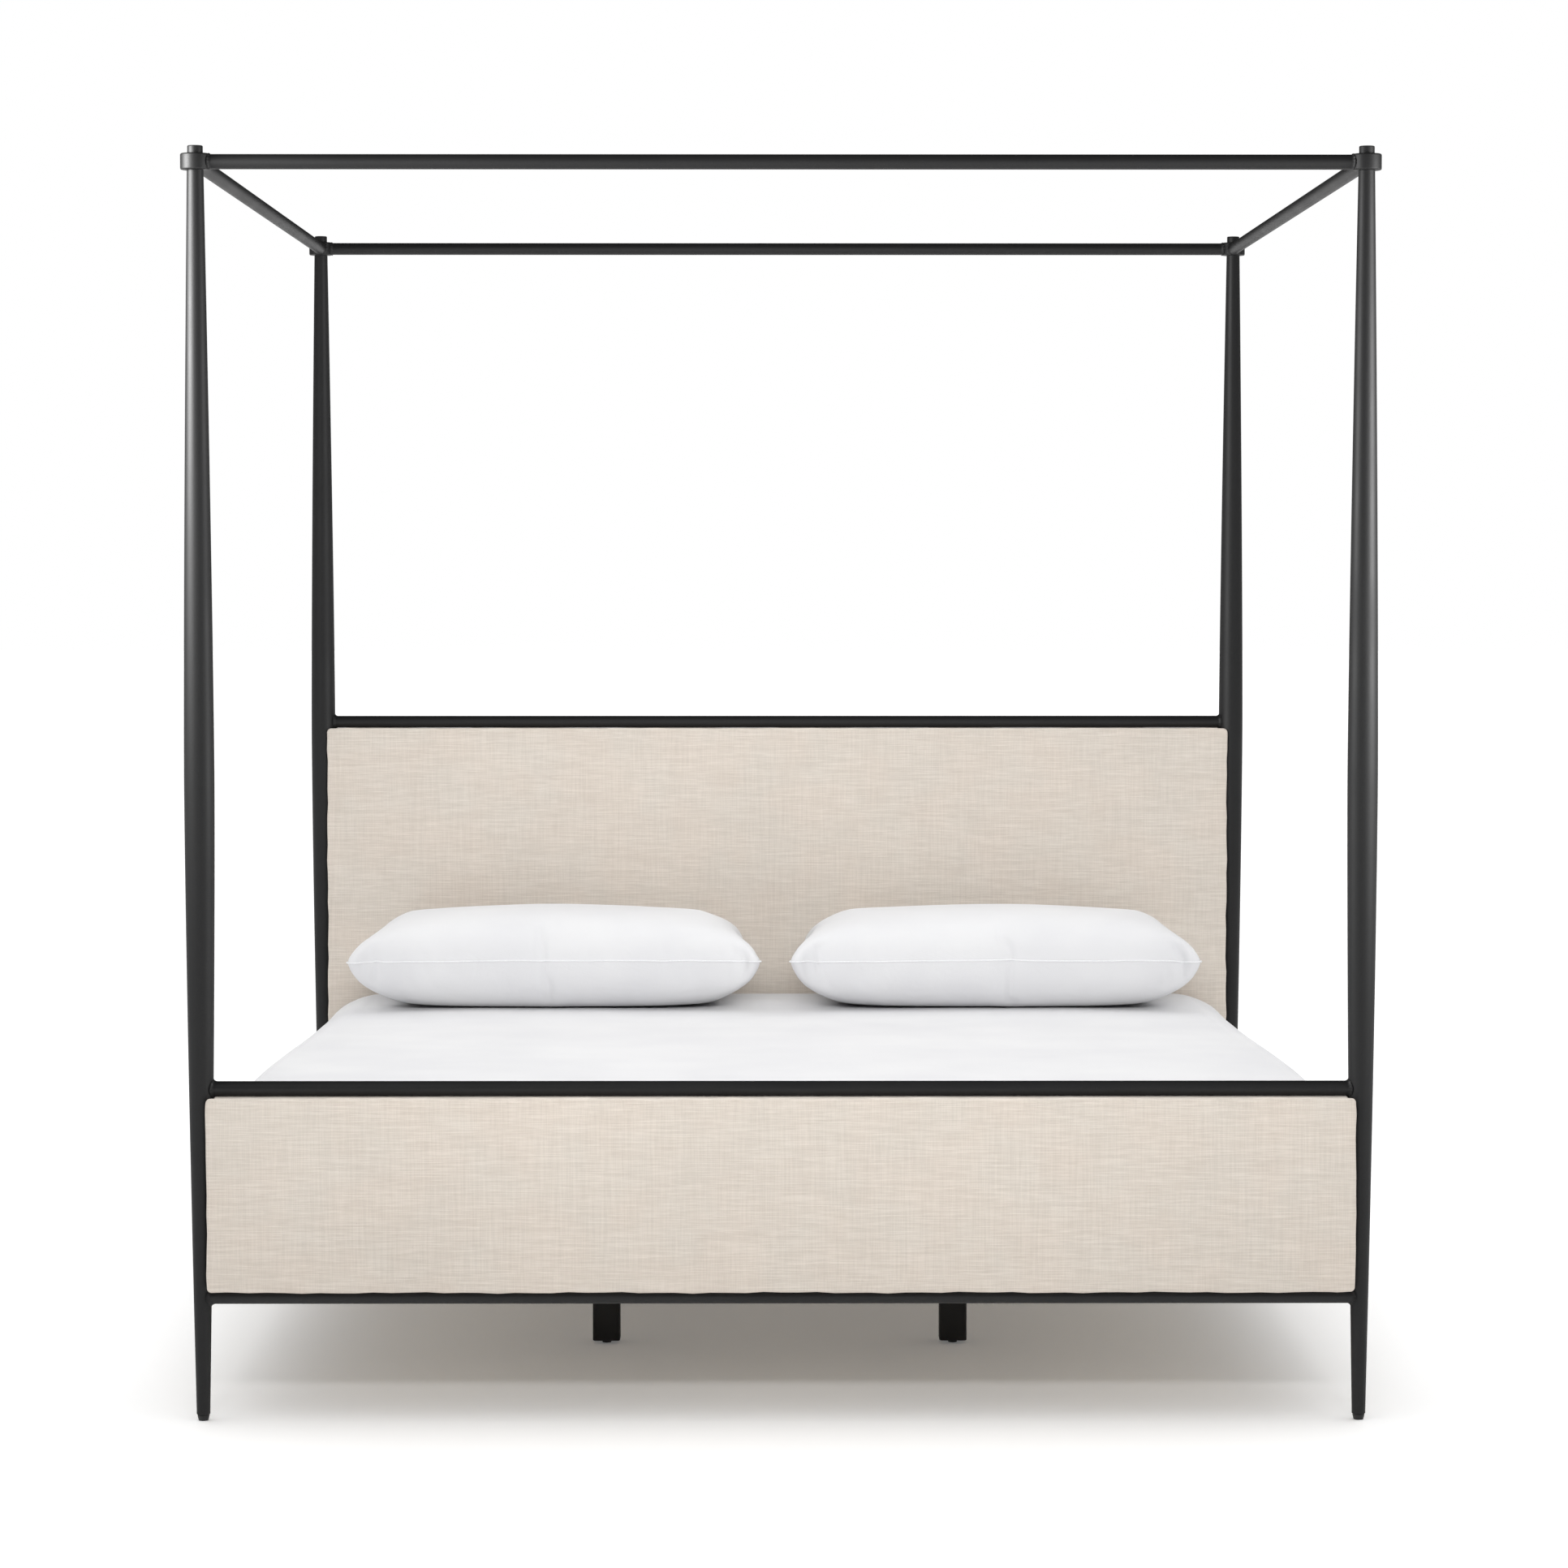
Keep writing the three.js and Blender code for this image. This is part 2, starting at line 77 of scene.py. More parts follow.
class Shader:
    """A material on one Principled shader, with short ways to add nodes that read object coordinates."""

    def __init__(self, name, color, roughness, metallic=0.0, **sockets):
        self.material = bpy.data.materials.new(name)
        self.material.use_nodes = True
        self.tree = self.material.node_tree
        self.bsdf = self.tree.nodes["Principled BSDF"]
        self.bsdf.inputs["Base Color"].default_value = (*color, 1)
        self.bsdf.inputs["Roughness"].default_value = roughness
        self.bsdf.inputs["Metallic"].default_value = metallic
        for socket, value in sockets.items():
            self.bsdf.inputs[socket.replace("_", " ")].default_value = value
        self.position = self.tree.nodes.new("ShaderNodeTexCoord").outputs["Object"]
        self.normal = None

    def link(self, source, target):
        self.tree.links.new(source, target)

    def scaled(self, scale, offset=(0, 0, 0)):
        node = self.tree.nodes.new("ShaderNodeMapping")
        node.inputs["Scale"].default_value = scale
        node.inputs["Location"].default_value = offset
        self.link(self.position, node.inputs["Vector"])
        return node.outputs["Vector"]

    def noise(self, scale, detail=2.0, roughness=0.5, offset=(0, 0, 0), distortion=0.0):
        """Noise with so many features to the metre along each axis."""
        scale = scale if hasattr(scale, "__len__") else (scale, scale, scale)
        node = self.tree.nodes.new("ShaderNodeTexNoise")
        node.inputs["Scale"].default_value = 1.0
        node.inputs["Detail"].default_value = detail
        node.inputs["Roughness"].default_value = roughness
        node.inputs["Distortion"].default_value = distortion
        self.link(self.scaled(scale, offset), node.inputs["Vector"])
        return node.outputs["Fac"]

    def cells(self, scale):
        node = self.tree.nodes.new("ShaderNodeTexVoronoi")
        node.inputs["Scale"].default_value = 1.0
        self.link(self.scaled(scale), node.inputs["Vector"])
        return node.outputs["Distance"]

    def math(self, operation, a, b=0.0):
        node = self.tree.nodes.new("ShaderNodeMath")
        node.operation = operation
        for socket, value in zip(node.inputs, (a, b)):
            if isinstance(value, (int, float)):
                socket.default_value = value
            else:
                self.link(value, socket)
        return node.outputs["Value"]

    def ramp(self, factor, *stops):
        """Stops are (place, colour or grey value)."""
        node = self.tree.nodes.new("ShaderNodeValToRGB")
        elements = node.color_ramp.elements
        while len(elements) < len(stops):
            elements.new(0.5)
        for element, (place, value) in zip(elements, stops):
            element.position = place
            grey = isinstance(value, (int, float))
            element.color = (value, value, value, 1) if grey else (*value, 1)
        self.link(factor, node.inputs["Fac"])
        return node.outputs["Color"]

    def mix(self, factor, a, b, blend="MIX"):
        node = self.tree.nodes.new("ShaderNodeMix")
        node.data_type = "RGBA"
        node.blend_type = blend
        sockets = {"Factor": factor, "A": a, "B": b}
        for socket in node.inputs:
            if socket.name not in sockets or not socket.enabled:
                continue
            value = sockets[socket.name]
            if isinstance(value, (int, float)):
                socket.default_value = value
            elif isinstance(value, (list, tuple)):
                socket.default_value = (*value, 1)
            else:
                self.link(value, socket)
        return next(socket for socket in node.outputs if socket.enabled)

    def threads(self, pitch_x, pitch_y, pitch_z):
        """The height of a plain weave whose threads are that far apart along each axis."""
        split = self.tree.nodes.new("ShaderNodeSeparateXYZ")
        self.link(self.position, split.inputs[0])
        waves = []
        for axis, pitch in zip("XYZ", (pitch_x, pitch_y, pitch_z)):
            angle = self.math("MULTIPLY", split.outputs[axis], TAU / pitch)
            waves.append(self.math("SINE", angle))
        return self.math("ADD", self.math("ADD", waves[0], waves[1]), waves[2])

    def color(self, source):
        self.link(source, self.bsdf.inputs["Base Color"])

    def roughness(self, source):
        self.link(source, self.bsdf.inputs["Roughness"])

    def bump(self, height, distance, strength=1.0):
        node = self.tree.nodes.new("ShaderNodeBump")
        node.inputs["Distance"].default_value = distance
        node.inputs["Strength"].default_value = strength
        self.link(height, node.inputs["Height"])
        if self.normal is not None:
            self.link(self.normal, node.inputs["Normal"])
        self.normal = node.outputs["Normal"]
        self.link(self.normal, self.bsdf.inputs["Normal"])


def powder_coat():
    """Near-black powder coat: a sandy grain over a slight orange peel."""
    dark, light = linear(16, 16, 17), linear(31, 31, 32)
    shader = Shader("black_iron", dark, 0.56, 0.0, Specular_IOR_Level=0.42)
    cloudy = shader.noise(6, 3)
    grain = shader.noise(1500, 2, 0.6)
    shader.color(shader.mix(shader.ramp(grain, (0.42, 0.0), (0.72, 1.0)), dark, light))
    shader.roughness(shader.ramp(cloudy, (0.3, 0.52), (0.7, 0.60)))
    shader.bump(shader.noise(260, 2), 0.0003, 0.3)
    shader.bump(grain, 0.00015, 0.5)
    return shader.material


def linen():
    """Oatmeal linen: a plain weave with irregular thicker threads, mostly across, and a few dark flecks."""
    shader = Shader("linen", linear(215, 205, 194), 0.95, 0.0, Sheen_Weight=0.1, Sheen_Roughness=0.5)
    slub = shader.noise((15, 15, 520), 2, 0.6)
    thin_slub = shader.noise((34, 34, 1000), 2, 0.6, (3, 1, 7))
    upright = shader.noise((560, 560, 12), 2, 0.6, (1, 5, 2))
    pale, middling, dark = linear(233, 224, 214), linear(214, 204, 193), linear(203, 192, 181)
    lines = shader.ramp(slub, (0.38, dark), (0.50, middling), (0.66, pale))
    fine = shader.ramp(thin_slub, (0.38, linear(201, 191, 180)), (0.62, linear(229, 220, 210)))
    tall = shader.ramp(upright, (0.38, linear(203, 194, 183)), (0.62, linear(228, 219, 208)))
    tint = shader.noise(9, 2, 0.5, (9, 2, 6))
    patches = shader.ramp(tint, (0.38, linear(218, 202, 187)), (0.62, linear(206, 202, 192)))
    woven = shader.mix(0.30, shader.mix(0.38, lines, fine), tall)
    woven = shader.mix(0.14, woven, patches)
    shade = shader.ramp(shader.noise(2.2, 2, 0.5, (4, 4, 4)), (0.3, 0.965), (0.7, 1.0))
    woven = shader.mix(1.0, woven, shade, "MULTIPLY")
    fleck = shader.ramp(shader.cells((70, 70, 190)), (0.035, 1.0), (0.06, 0.0))
    rare = shader.ramp(shader.noise(17, 0, 0.5, (2, 8, 1)), (0.58, 0.0), (0.66, 0.5))
    shader.color(shader.mix(shader.math("MULTIPLY", fleck, rare), woven, linear(140, 127, 114)))
    shader.bump(shader.threads(0.0011, 0.0011, 0.0011), 0.00009, 0.5)
    shader.bump(slub, 0.0012, 0.5)
    shader.bump(upright, 0.0008, 0.4)
    return shader.material


def cotton():
    """Plain white cotton percale."""
    shader = Shader("cotton", linear(225, 225, 227), 0.9, 0.0, Sheen_Weight=0.1, Sheen_Roughness=0.6)
    clouds = shader.noise(5, 2)
    shader.color(shader.ramp(clouds, (0.3, linear(222, 222, 224)), (0.7, linear(228, 228, 229))))
    shader.bump(shader.threads(0.0006, 0.0006, 0.0006), 0.00004, 0.5)
    shader.bump(shader.noise((17, 30, 24), 3, 0.5, (1, 1, 1), 0.6), 0.003, 0.35)
    return shader.material


def ticking():
    """Off-white mattress ticking, quilted in a small lozenge pattern."""
    shader = Shader("ticking", linear(232, 229, 222), 0.9, 0.0, Sheen_Weight=0.1)
    shader.color(shader.ramp(shader.noise(40, 2), (0.3, linear(226, 223, 214)), (0.7, linear(236, 233, 227))))
    split = shader.tree.nodes.new("ShaderNodeSeparateXYZ")
    shader.link(shader.position, split.inputs[0])
    along = shader.math("ADD", split.outputs["X"], split.outputs["Y"])
    across = shader.math("SUBTRACT", split.outputs["X"], split.outputs["Y"])
    stitch = [shader.math("MULTIPLY", direction, 28.0) for direction in (along, across)]
    quilt = [shader.math("ABSOLUTE", shader.math("SINE", angle)) for angle in stitch]
    shader.bump(shader.math("MULTIPLY", *quilt), 0.006, 0.8)
    shader.bump(shader.threads(0.0009, 0.0009, 0.0009), 0.00006, 0.5)
    return shader.material


def wood(name, pale, dark, edge_layers=False):
    """Planed wood with its grain along X. Plywood shows its plies on its edges instead."""
    shader = Shader(name, pale, 0.62, 0.0)
    grain = shader.noise((2.2, 60, 60), 4, 0.6, (0, 0, 0), 1.2)
    fibres = shader.noise((9, 700, 700), 2)
    boards = shader.noise((0.05, 6.9, 0.05), 0, 0.5, (5, 3, 1))
    colour = shader.ramp(grain, (0.35, pale), (0.55, [(a + b) / 2 for a, b in zip(pale, dark)]), (0.72, dark))
    if edge_layers:
        split = shader.tree.nodes.new("ShaderNodeSeparateXYZ")
        shader.link(shader.position, split.inputs[0])
        plies = shader.math("SINE", shader.math("MULTIPLY", split.outputs["Y"], TAU / 0.004))
        colour = shader.mix(shader.ramp(plies, (0.4, 0.0), (0.6, 0.35)), colour, dark)
    colour = shader.mix(shader.ramp(boards, (0.35, 0.0), (0.65, 0.3)), colour, dark)
    shader.color(colour)
    shader.roughness(shader.ramp(fibres, (0.3, 0.55), (0.7, 0.72)))
    shader.bump(fibres, 0.0002, 0.5)
    return shader.material


def nylon():
    shader = Shader("black_nylon", linear(24, 24, 25), 0.55)
    scuffs = shader.noise((300, 300, 60), 3)
    shader.roughness(shader.ramp(scuffs, (0.3, 0.42), (0.7, 0.62)))
    shader.bump(shader.noise(900, 2), 0.00012, 0.4)
    return shader.material


def zinc():
    shader = Shader("zinc", linear(170, 172, 175), 0.35, 1.0)
    dark, pale = linear(150, 152, 156), linear(190, 190, 188)
    shader.color(shader.ramp(shader.noise(220, 3), (0.3, dark), (0.7, pale)))
    shader.roughness(shader.ramp(shader.noise(500, 2), (0.3, 0.28), (0.7, 0.42)))
    return shader.material


def webbing():
    shader = Shader("webbing", linear(225, 222, 214), 0.9)
    dark, pale = linear(206, 203, 195), linear(232, 230, 224)
    shader.color(shader.ramp(shader.noise((900, 120, 900), 2), (0.35, dark), (0.65, pale)))
    shader.bump(shader.threads(0.0016, 0.0022, 0.0016), 0.0002, 0.8)
    return shader.material


def stitching():
    """Cotton thread and piping."""
    shader = Shader("white_thread", linear(236, 236, 238), 0.85)
    twist = shader.noise(900, 1)
    shader.color(shader.ramp(twist, (0.35, linear(226, 226, 230)), (0.65, linear(242, 242, 242))))
    shader.bump(twist, 0.0002, 0.6)
    return shader.material


IRON = powder_coat()
LINEN = linen()
COTTON = cotton()
TICKING = ticking()
PINE = wood("pine", linear(223, 203, 172), linear(190, 163, 126))
PLYWOOD = wood("plywood", linear(216, 194, 160), linear(180, 150, 112), edge_layers=True)
NYLON = nylon()
ZINC = zinc()
WEBBING = webbing()
THREAD = stitching()

# ---------------------------------------------------------------- mesh tools


def add_piece(name, verts, faces, material, slot, body="frame", stands_for=(), sharp=38):
    """A mesh piece that rides on a body and stands for some CAD nodes."""
    mesh = bpy.data.meshes.new(name)
    mesh.from_pydata([tuple(map(float, v)) for v in verts], [], [tuple(map(int, f)) for f in faces])
    made = bmesh.new()
    made.from_mesh(mesh)
    bmesh.ops.recalc_face_normals(made, faces=made.faces)
    made.to_mesh(mesh)
    made.free()
    mesh.materials.append(material)
    mesh.shade_smooth()
    mesh.set_sharp_from_angle(angle=math.radians(sharp))
    piece = bpy.data.objects.new(name, mesh)
    bpy.context.scene.collection.objects.link(piece)
    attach(piece, body)
    if stands_for:
        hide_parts(*stands_for)
    return piece


def add_iron(name, verts, faces, *stands_for):
    return add_piece(name, verts, faces, IRON, "black_iron", stands_for=stands_for)


class Shape:
    """Collects vertices and faces of several solids for one piece."""

    def __init__(self):
        self.verts = np.zeros((0, 3))
        self.faces = []

    def add(self, verts, faces):
        start = len(self.verts)
        self.verts = np.vstack([self.verts, np.asarray(verts, float)])
        self.faces += [tuple(i + start for i in face) for face in faces]
        return self


def lathe(profile, sides=64, closed=False):
    """A round solid about Z from (radius, height) points. A closed profile comes back to its start."""
    verts, rings = [], []
    angles = np.arange(sides) * TAU / sides
    for radius, height in profile:
        if radius < 1e-7:
            rings.append([len(verts)] * sides)
            verts.append((0, 0, height))
        else:
            rings.append(list(range(len(verts), len(verts) + sides)))
            verts += [(radius * math.cos(a), radius * math.sin(a), height) for a in angles]
    pairs = list(zip(rings, rings[1:] + rings[:1])) if closed else list(zip(rings, rings[1:]))
    faces = []
    for low, high in pairs:
        for k in range(sides):
            after = (k + 1) % sides
            corners = [low[k], low[after], high[after], high[k]]
            faces.append(list(dict.fromkeys(corners)))
    return np.array(verts), [face for face in faces if len(face) > 2]


def rounded(a, b, c, radius, steps=5):
    """Points that round the corner b between a and c."""
    a, b, c = (np.array(p, float) for p in (a, b, c))
    to_a, to_c = (a - b) / np.linalg.norm(a - b), (c - b) / np.linalg.norm(c - b)
    start, end = b + to_a * radius, b + to_c * radius
    points = []
    for i in range(steps + 1):
        t = i / steps
        points.append(tuple((1 - t) ** 2 * start + 2 * t * (1 - t) * b + t * t * end))
    return points


def soften(profile, radii, steps=5):
    """A profile whose inner points are rounded by the radii given, 0 leaving one as it is."""
    points = [tuple(profile[0])]
    for i in range(1, len(profile) - 1):
        if radii[i]:
            points += rounded(profile[i - 1], profile[i], profile[i + 1], radii[i], steps)
        else:
            points.append(tuple(profile[i]))
    return points + [tuple(profile[-1])]


def rectangle(width, depth, corner, steps=5):
    """The outline of a rounded rectangle, anticlockwise."""
    points = []
    for quarter, (sx, sy) in enumerate(((1, 1), (-1, 1), (-1, -1), (1, -1))):
        cx, cy = sx * (width / 2 - corner), sy * (depth / 2 - corner)
        for i in range(steps + 1):
            angle = (quarter + i / steps) * TAU / 4
            points.append((cx + corner * math.cos(angle), cy + corner * math.sin(angle)))
    return np.array(points)


def bar(outline, low, high, edge=0.001):
    """A solid bar along Z with that outline, its end edges eased."""
    outline = np.asarray(outline, float)
    middle = outline.mean(axis=0)
    reach = np.abs(outline - middle).max(axis=0)
    small = middle + (outline - middle) * (1 - edge / reach)
    count = len(outline)
    verts = []
    for points, height in ((small, low), (outline, low + edge), (outline, high - edge), (small, high)):
        verts += [(x, y, height) for x, y in points]
    faces = [list(range(count)), list(range(3 * count, 4 * count))]
    for ring in range(3):
        for k in range(count):
            a, b = ring * count + k, ring * count + (k + 1) % count
            faces.append([a, b, b + count, a + count])
    return np.array(verts), faces


def block(low, high, edge=0.0008):
    """A box from its lowest to its highest corner, with eased edges."""
    low, high = np.array(low, float), np.array(high, float)
    size = high - low
    verts, faces = bar(rectangle(size[0], size[1], edge * 1.5, 2), low[2], high[2], edge)
    return verts + [(low[0] + high[0]) / 2, (low[1] + high[1]) / 2, 0], faces


def turn(verts, axis):
    """Turns a shape made along Z so that it lies along X or Y, or along their negatives."""
    x, y, z = np.asarray(verts, float).T
    turned = {"x": (z, y, -x), "-x": (-z, y, x), "y": (x, z, -y), "-y": (x, -z, y), "z": (x, y, z)}[axis]
    return np.stack(turned, axis=1)


def post_radius(height):
    """The CAD posts' profile: two curved tapers from the widest point."""
    height = np.asarray(height, float)
    up = np.clip((height - WIDEST_Z) / (POST_TOP_Z - WIDEST_Z), 0, 1)
    down = np.clip((WIDEST_Z - height) / (WIDEST_Z - POST_FOOT_Z), 0, 1)
    return WIDEST_RADIUS - (WIDEST_RADIUS - TOP_RADIUS) * up**1.35 - (WIDEST_RADIUS - FOOT_RADIUS) * down**1.5


# ---------------------------------------------------------------- iron frame


def make_posts():
    heights = np.linspace(POST_FOOT_Z, POST_TOP_Z, 97)
    outside = [(float(post_radius(z)), float(z)) for z in heights]
    chamfer = 0.0016
    foot = [(0, POST_FOOT_Z), (outside[0][0] - chamfer, POST_FOOT_Z), (outside[0][0], POST_FOOT_Z + chamfer)]
    verts, faces = lathe(foot + outside[1:] + [(0, POST_TOP_Z)], 72)
    for name, sx, sy in CORNERS:
        at = verts + [sx * POST_X, sy * POST_Y, 0]
        add_iron(f"iron_post_{name}", at, faces, f"post_{name}")


def make_glides():
    """Tapered nylon glides under the posts, and small levelling feet under the middle legs."""
    kinds = {
        "post_glide": [(0, 0), (0.0083, 0), (0.0105, 0.0092), (0.004, 0.0092), (0.004, 0.037), (0, 0.037)],
        "leg_glide": [(0, 0), (0.0084, 0), (0.0084, 0.006), (0.004, 0.006), (0.004, 0.034), (0, 0.034)],
    }
    for kind, profile in kinds.items():
        verts, faces = lathe(soften(profile, [0, 0.0008, 0.0006, 0, 0, 0]), 48)
        for name, sx, sy in CORNERS:
            node = f"{kind}_{name}"
            low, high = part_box(node)
            at = verts + [(low[0] + high[0]) / 2, (low[1] + high[1]) / 2, 0]
            add_piece(f"fine_{node}", at, faces, NYLON, "black_nylon", node, [node])


def make_collars_and_finials():
    half = COLLAR_HEIGHT / 2
    bore = 0.0065
    ring = [(bore, 0), (bore, -half), (COLLAR_RADIUS, -half), (COLLAR_RADIUS, half), (bore, half), (bore, 0)]
    ring = soften(ring, [0, 0.0005, 0.0032, 0.0032, 0.0005, 0], 7)
    ring_verts, ring_faces = lathe(ring[:-1], 96, closed=True)
    low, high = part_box("finial_cap_foot_left")
    top = high[2]
    collar_top = CANOPY_Z + half + 0.0003
    radius = 0.0131
    cap = [(0, low[2]), (0.006, low[2]), (0.006, collar_top), (radius, collar_top), (radius, top), (0, top)]
    cap_verts, cap_faces = lathe(soften(cap, [0, 0, 0, 0.0004, 0.0022, 0], 6), 72)
    for name, sx, sy in CORNERS:
        here = np.array([sx * POST_X, sy * POST_Y, 0])
        at = ring_verts + here + [0, 0, CANOPY_Z]
        add_iron(f"collar_{name}", at, ring_faces, f"canopy_collar_{name}")
        node = f"finial_cap_{name}"
        add_iron(f"finial_{name}", cap_verts + here, cap_faces, node)


# A hollow fillet's section for a size of 1: (height over the tube, distance from the post).
WELD_SECTION = [(1.1, -0.3), (1.0, 0.05), (0.52, 0.35), (0.24, 0.75), (0.04, 1.35), (-0.2, 1.4), (-0.2, -0.3)]


def coped_tube(along, centre, half_span, end_radius, half_height=1.0):
    """A tube along X or Y whose two ends are shaped to round posts half_span away on each side, and the
    weld around each end. end_radius gives the post's radius at a height, and half_height is as far as the
    weld may rise above the tube's middle."""
    angles = np.arange(TUBE_SIDES) * TAU / TUBE_SIDES
    across, up = TUBE_RADIUS * np.cos(angles), TUBE_RADIUS * np.sin(angles)
    reach = half_span - np.sqrt(np.maximum(end_radius(centre[2] + up) ** 2 - across**2, 1e-8))
    axis = 0 if along == "x" else 1
    rings = []
    for place in (-(reach + 0.001), -(reach - 0.03), reach - 0.03, reach + 0.001):
        ring = np.zeros((TUBE_SIDES, 3))
        ring[:, axis], ring[:, 1 - axis], ring[:, 2] = place, across, up
        rings.append(ring)
    verts = np.vstack(rings) + centre
    faces = [list(range(TUBE_SIDES)), list(range(3 * TUBE_SIDES, 4 * TUBE_SIDES))]
    for k in range(3):
        for j in range(TUBE_SIDES):
            a, b = k * TUBE_SIDES + j, k * TUBE_SIDES + (j + 1) % TUBE_SIDES
            faces.append([a, b, b + TUBE_SIDES, a + TUBE_SIDES])
    welds = Shape()
    for way in (-1, 1):
        path = np.zeros((TUBE_SIDES, 3))
        path[:, axis], path[:, 1 - axis], path[:, 2] = way * reach, across, up
        outward = np.zeros((TUBE_SIDES, 3))
        outward[:, 1 - axis], outward[:, 2] = np.cos(angles), np.sin(angles)
        inward = np.zeros((TUBE_SIDES, 3))
        inward[:, axis] = -way
        ripple = 1 + 0.10 * np.sin(17 * angles + 1.3 * way) + 0.06 * np.sin(29 * angles)
        room = half_height / np.maximum(np.abs(np.sin(angles)), 0.05) - TUBE_RADIUS
        size = np.minimum(0.0036 * ripple, room)
        welds.add(*sweep(path + centre, outward, inward, WELD_SECTION, size))
    return (verts, faces), welds


def sweep(path, first, second, section, size):
    """A closed ring of a section along a closed path, with two unit vectors across it at each point."""
    count, sides = len(path), len(section)
    size = np.broadcast_to(size, count)
    verts = []
    for i in range(count):
        for a, b in section:
            verts.append(path[i] + size[i] * (a * first[i] + b * second[i]))
    faces = []
    for i in range(count):
        after = (i + 1) % count
        for j in range(sides):
            k = (j + 1) % sides
            faces.append([i * sides + j, after * sides + j, after * sides + k, i * sides + k])
    return np.array(verts), faces


def make_rails():
    def collar_radius(height):
        return np.full_like(height, COLLAR_RADIUS)

    welds = Shape()
    for end, sy in ENDS.items():
        tube, beads = coped_tube("x", (0, sy * POST_Y, CANOPY_Z), POST_X, collar_radius, COLLAR_HEIGHT / 2)
        node = f"canopy_tube_{end}"
        add_iron(f"tube_{end}", *tube, node)
        welds.add(beads.verts, beads.faces)
        for level, height in (("top", HEAD_RAIL_Z if end == "head" else FOOT_RAIL_Z), ("low", LOW_RAIL_Z)):
            tube, beads = coped_tube("x", (0, sy * POST_Y, height), POST_X, post_radius)
            shape = Shape().add(*tube)
            if level == "low":
                add_saddles(shape, sy)
            node = f"{end}board_{level}_rail"
            add_iron(f"rail_{end}_{level}", shape.verts, shape.faces, node)
            welds.add(beads.verts, beads.faces)
    for side, sx in SIDES.items():
        tube, beads = coped_tube("y", (sx * POST_X, 0, CANOPY_Z), POST_Y, collar_radius, COLLAR_HEIGHT / 2)
        add_iron(f"tube_{side}", *tube, f"canopy_tube_{side}")
        welds.add(beads.verts, beads.faces)
    add_iron("weld_beads", welds.verts, welds.faces)


def add_saddles(shape, sy):
    """The seats for the middle beams on a low rail: a plate with two lips."""
    beam_low, beam_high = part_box("support_beam_left")
    plate_top = beam_low[2] - 0.0003
    half, lip = (beam_high[0] - beam_low[0]) / 2 + 0.001, 0.003
    ends = sorted((sy * 1.002, sy * 1.049))
    lip_ends = sorted((sy * 1.002, sy * 1.024))
    for sx in SIDES.values():
        x = sx * abs(beam_low[0] + beam_high[0]) / 2
        shape.add(*block((x - half - lip, ends[0], plate_top - 0.005), (x + half + lip, ends[1], plate_top)))
        for way in (-1, 1):
            near, far = sorted((x + way * half, x + way * (half + lip)))
            shape.add(*block((near, lip_ends[0], plate_top - 0.001), (far, lip_ends[1], plate_top + 0.014)))


def make_side_rails():
    for side, sx in SIDES.items():
        low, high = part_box(f"side_rail_{side}")
        outer = sx * SIDE_RAIL_OUTER
        inner = sx * SIDE_RAIL_INNER
        middle = (low[2] + high[2]) / 2
        tube = rectangle(0.025, high[2] - low[2], 0.004, 6)
        verts, faces = bar(tube, low[1], high[1], 0.0006)
        verts = turn(verts, "y") * [1, 1, -1] + [(outer + inner) / 2, 0, middle]
        shape = Shape().add(verts, faces)
        ledge_top, wall, width, half = 0.2577, 0.003, 0.040, 0.980
        flat = sorted((inner + sx * 0.0005, inner - sx * width))
        shape.add(*block((flat[0], -half, ledge_top - wall), (flat[1], half, ledge_top), 0.0006))
        upright = sorted((inner + sx * 0.0005, inner - sx * wall))
        shape.add(*block((upright[0], -half, ledge_top - width), (upright[1], half, ledge_top), 0.0006))
        node = f"side_rail_{side}"
        add_iron(f"rail_{side}", shape.verts, shape.faces, node)
    # Button-head screws with a round-cornered socket.
    head = [(0, 0.0021), (0.0024, 0.0021), (0.0027, 0.0047), (0.0048, 0.0044)]
    head += [(0.0064, 0.0024), (0.0065, 0.0003)]
    shank = [(0.004, 0.0003), (0.004, -0.020), (0, -0.020)]
    verts, faces = lathe(soften(head, [0, 0, 0.0003, 0.0016, 0.0012, 0], 4) + shank, 36)
    for name, sx, sy in CORNERS:
        for level in ("lower", "upper"):
            node = f"rail_bolt_{name}_{level}"
            low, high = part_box(node)
            at = turn(verts, "-x" if sx > 0 else "x")
            at = at + [sx * SIDE_RAIL_INNER, (low[1] + high[1]) / 2, (low[2] + high[2]) / 2]
            add_piece(f"screw_{name}_{level}", at, faces, ZINC, "zinc", stands_for=[node])


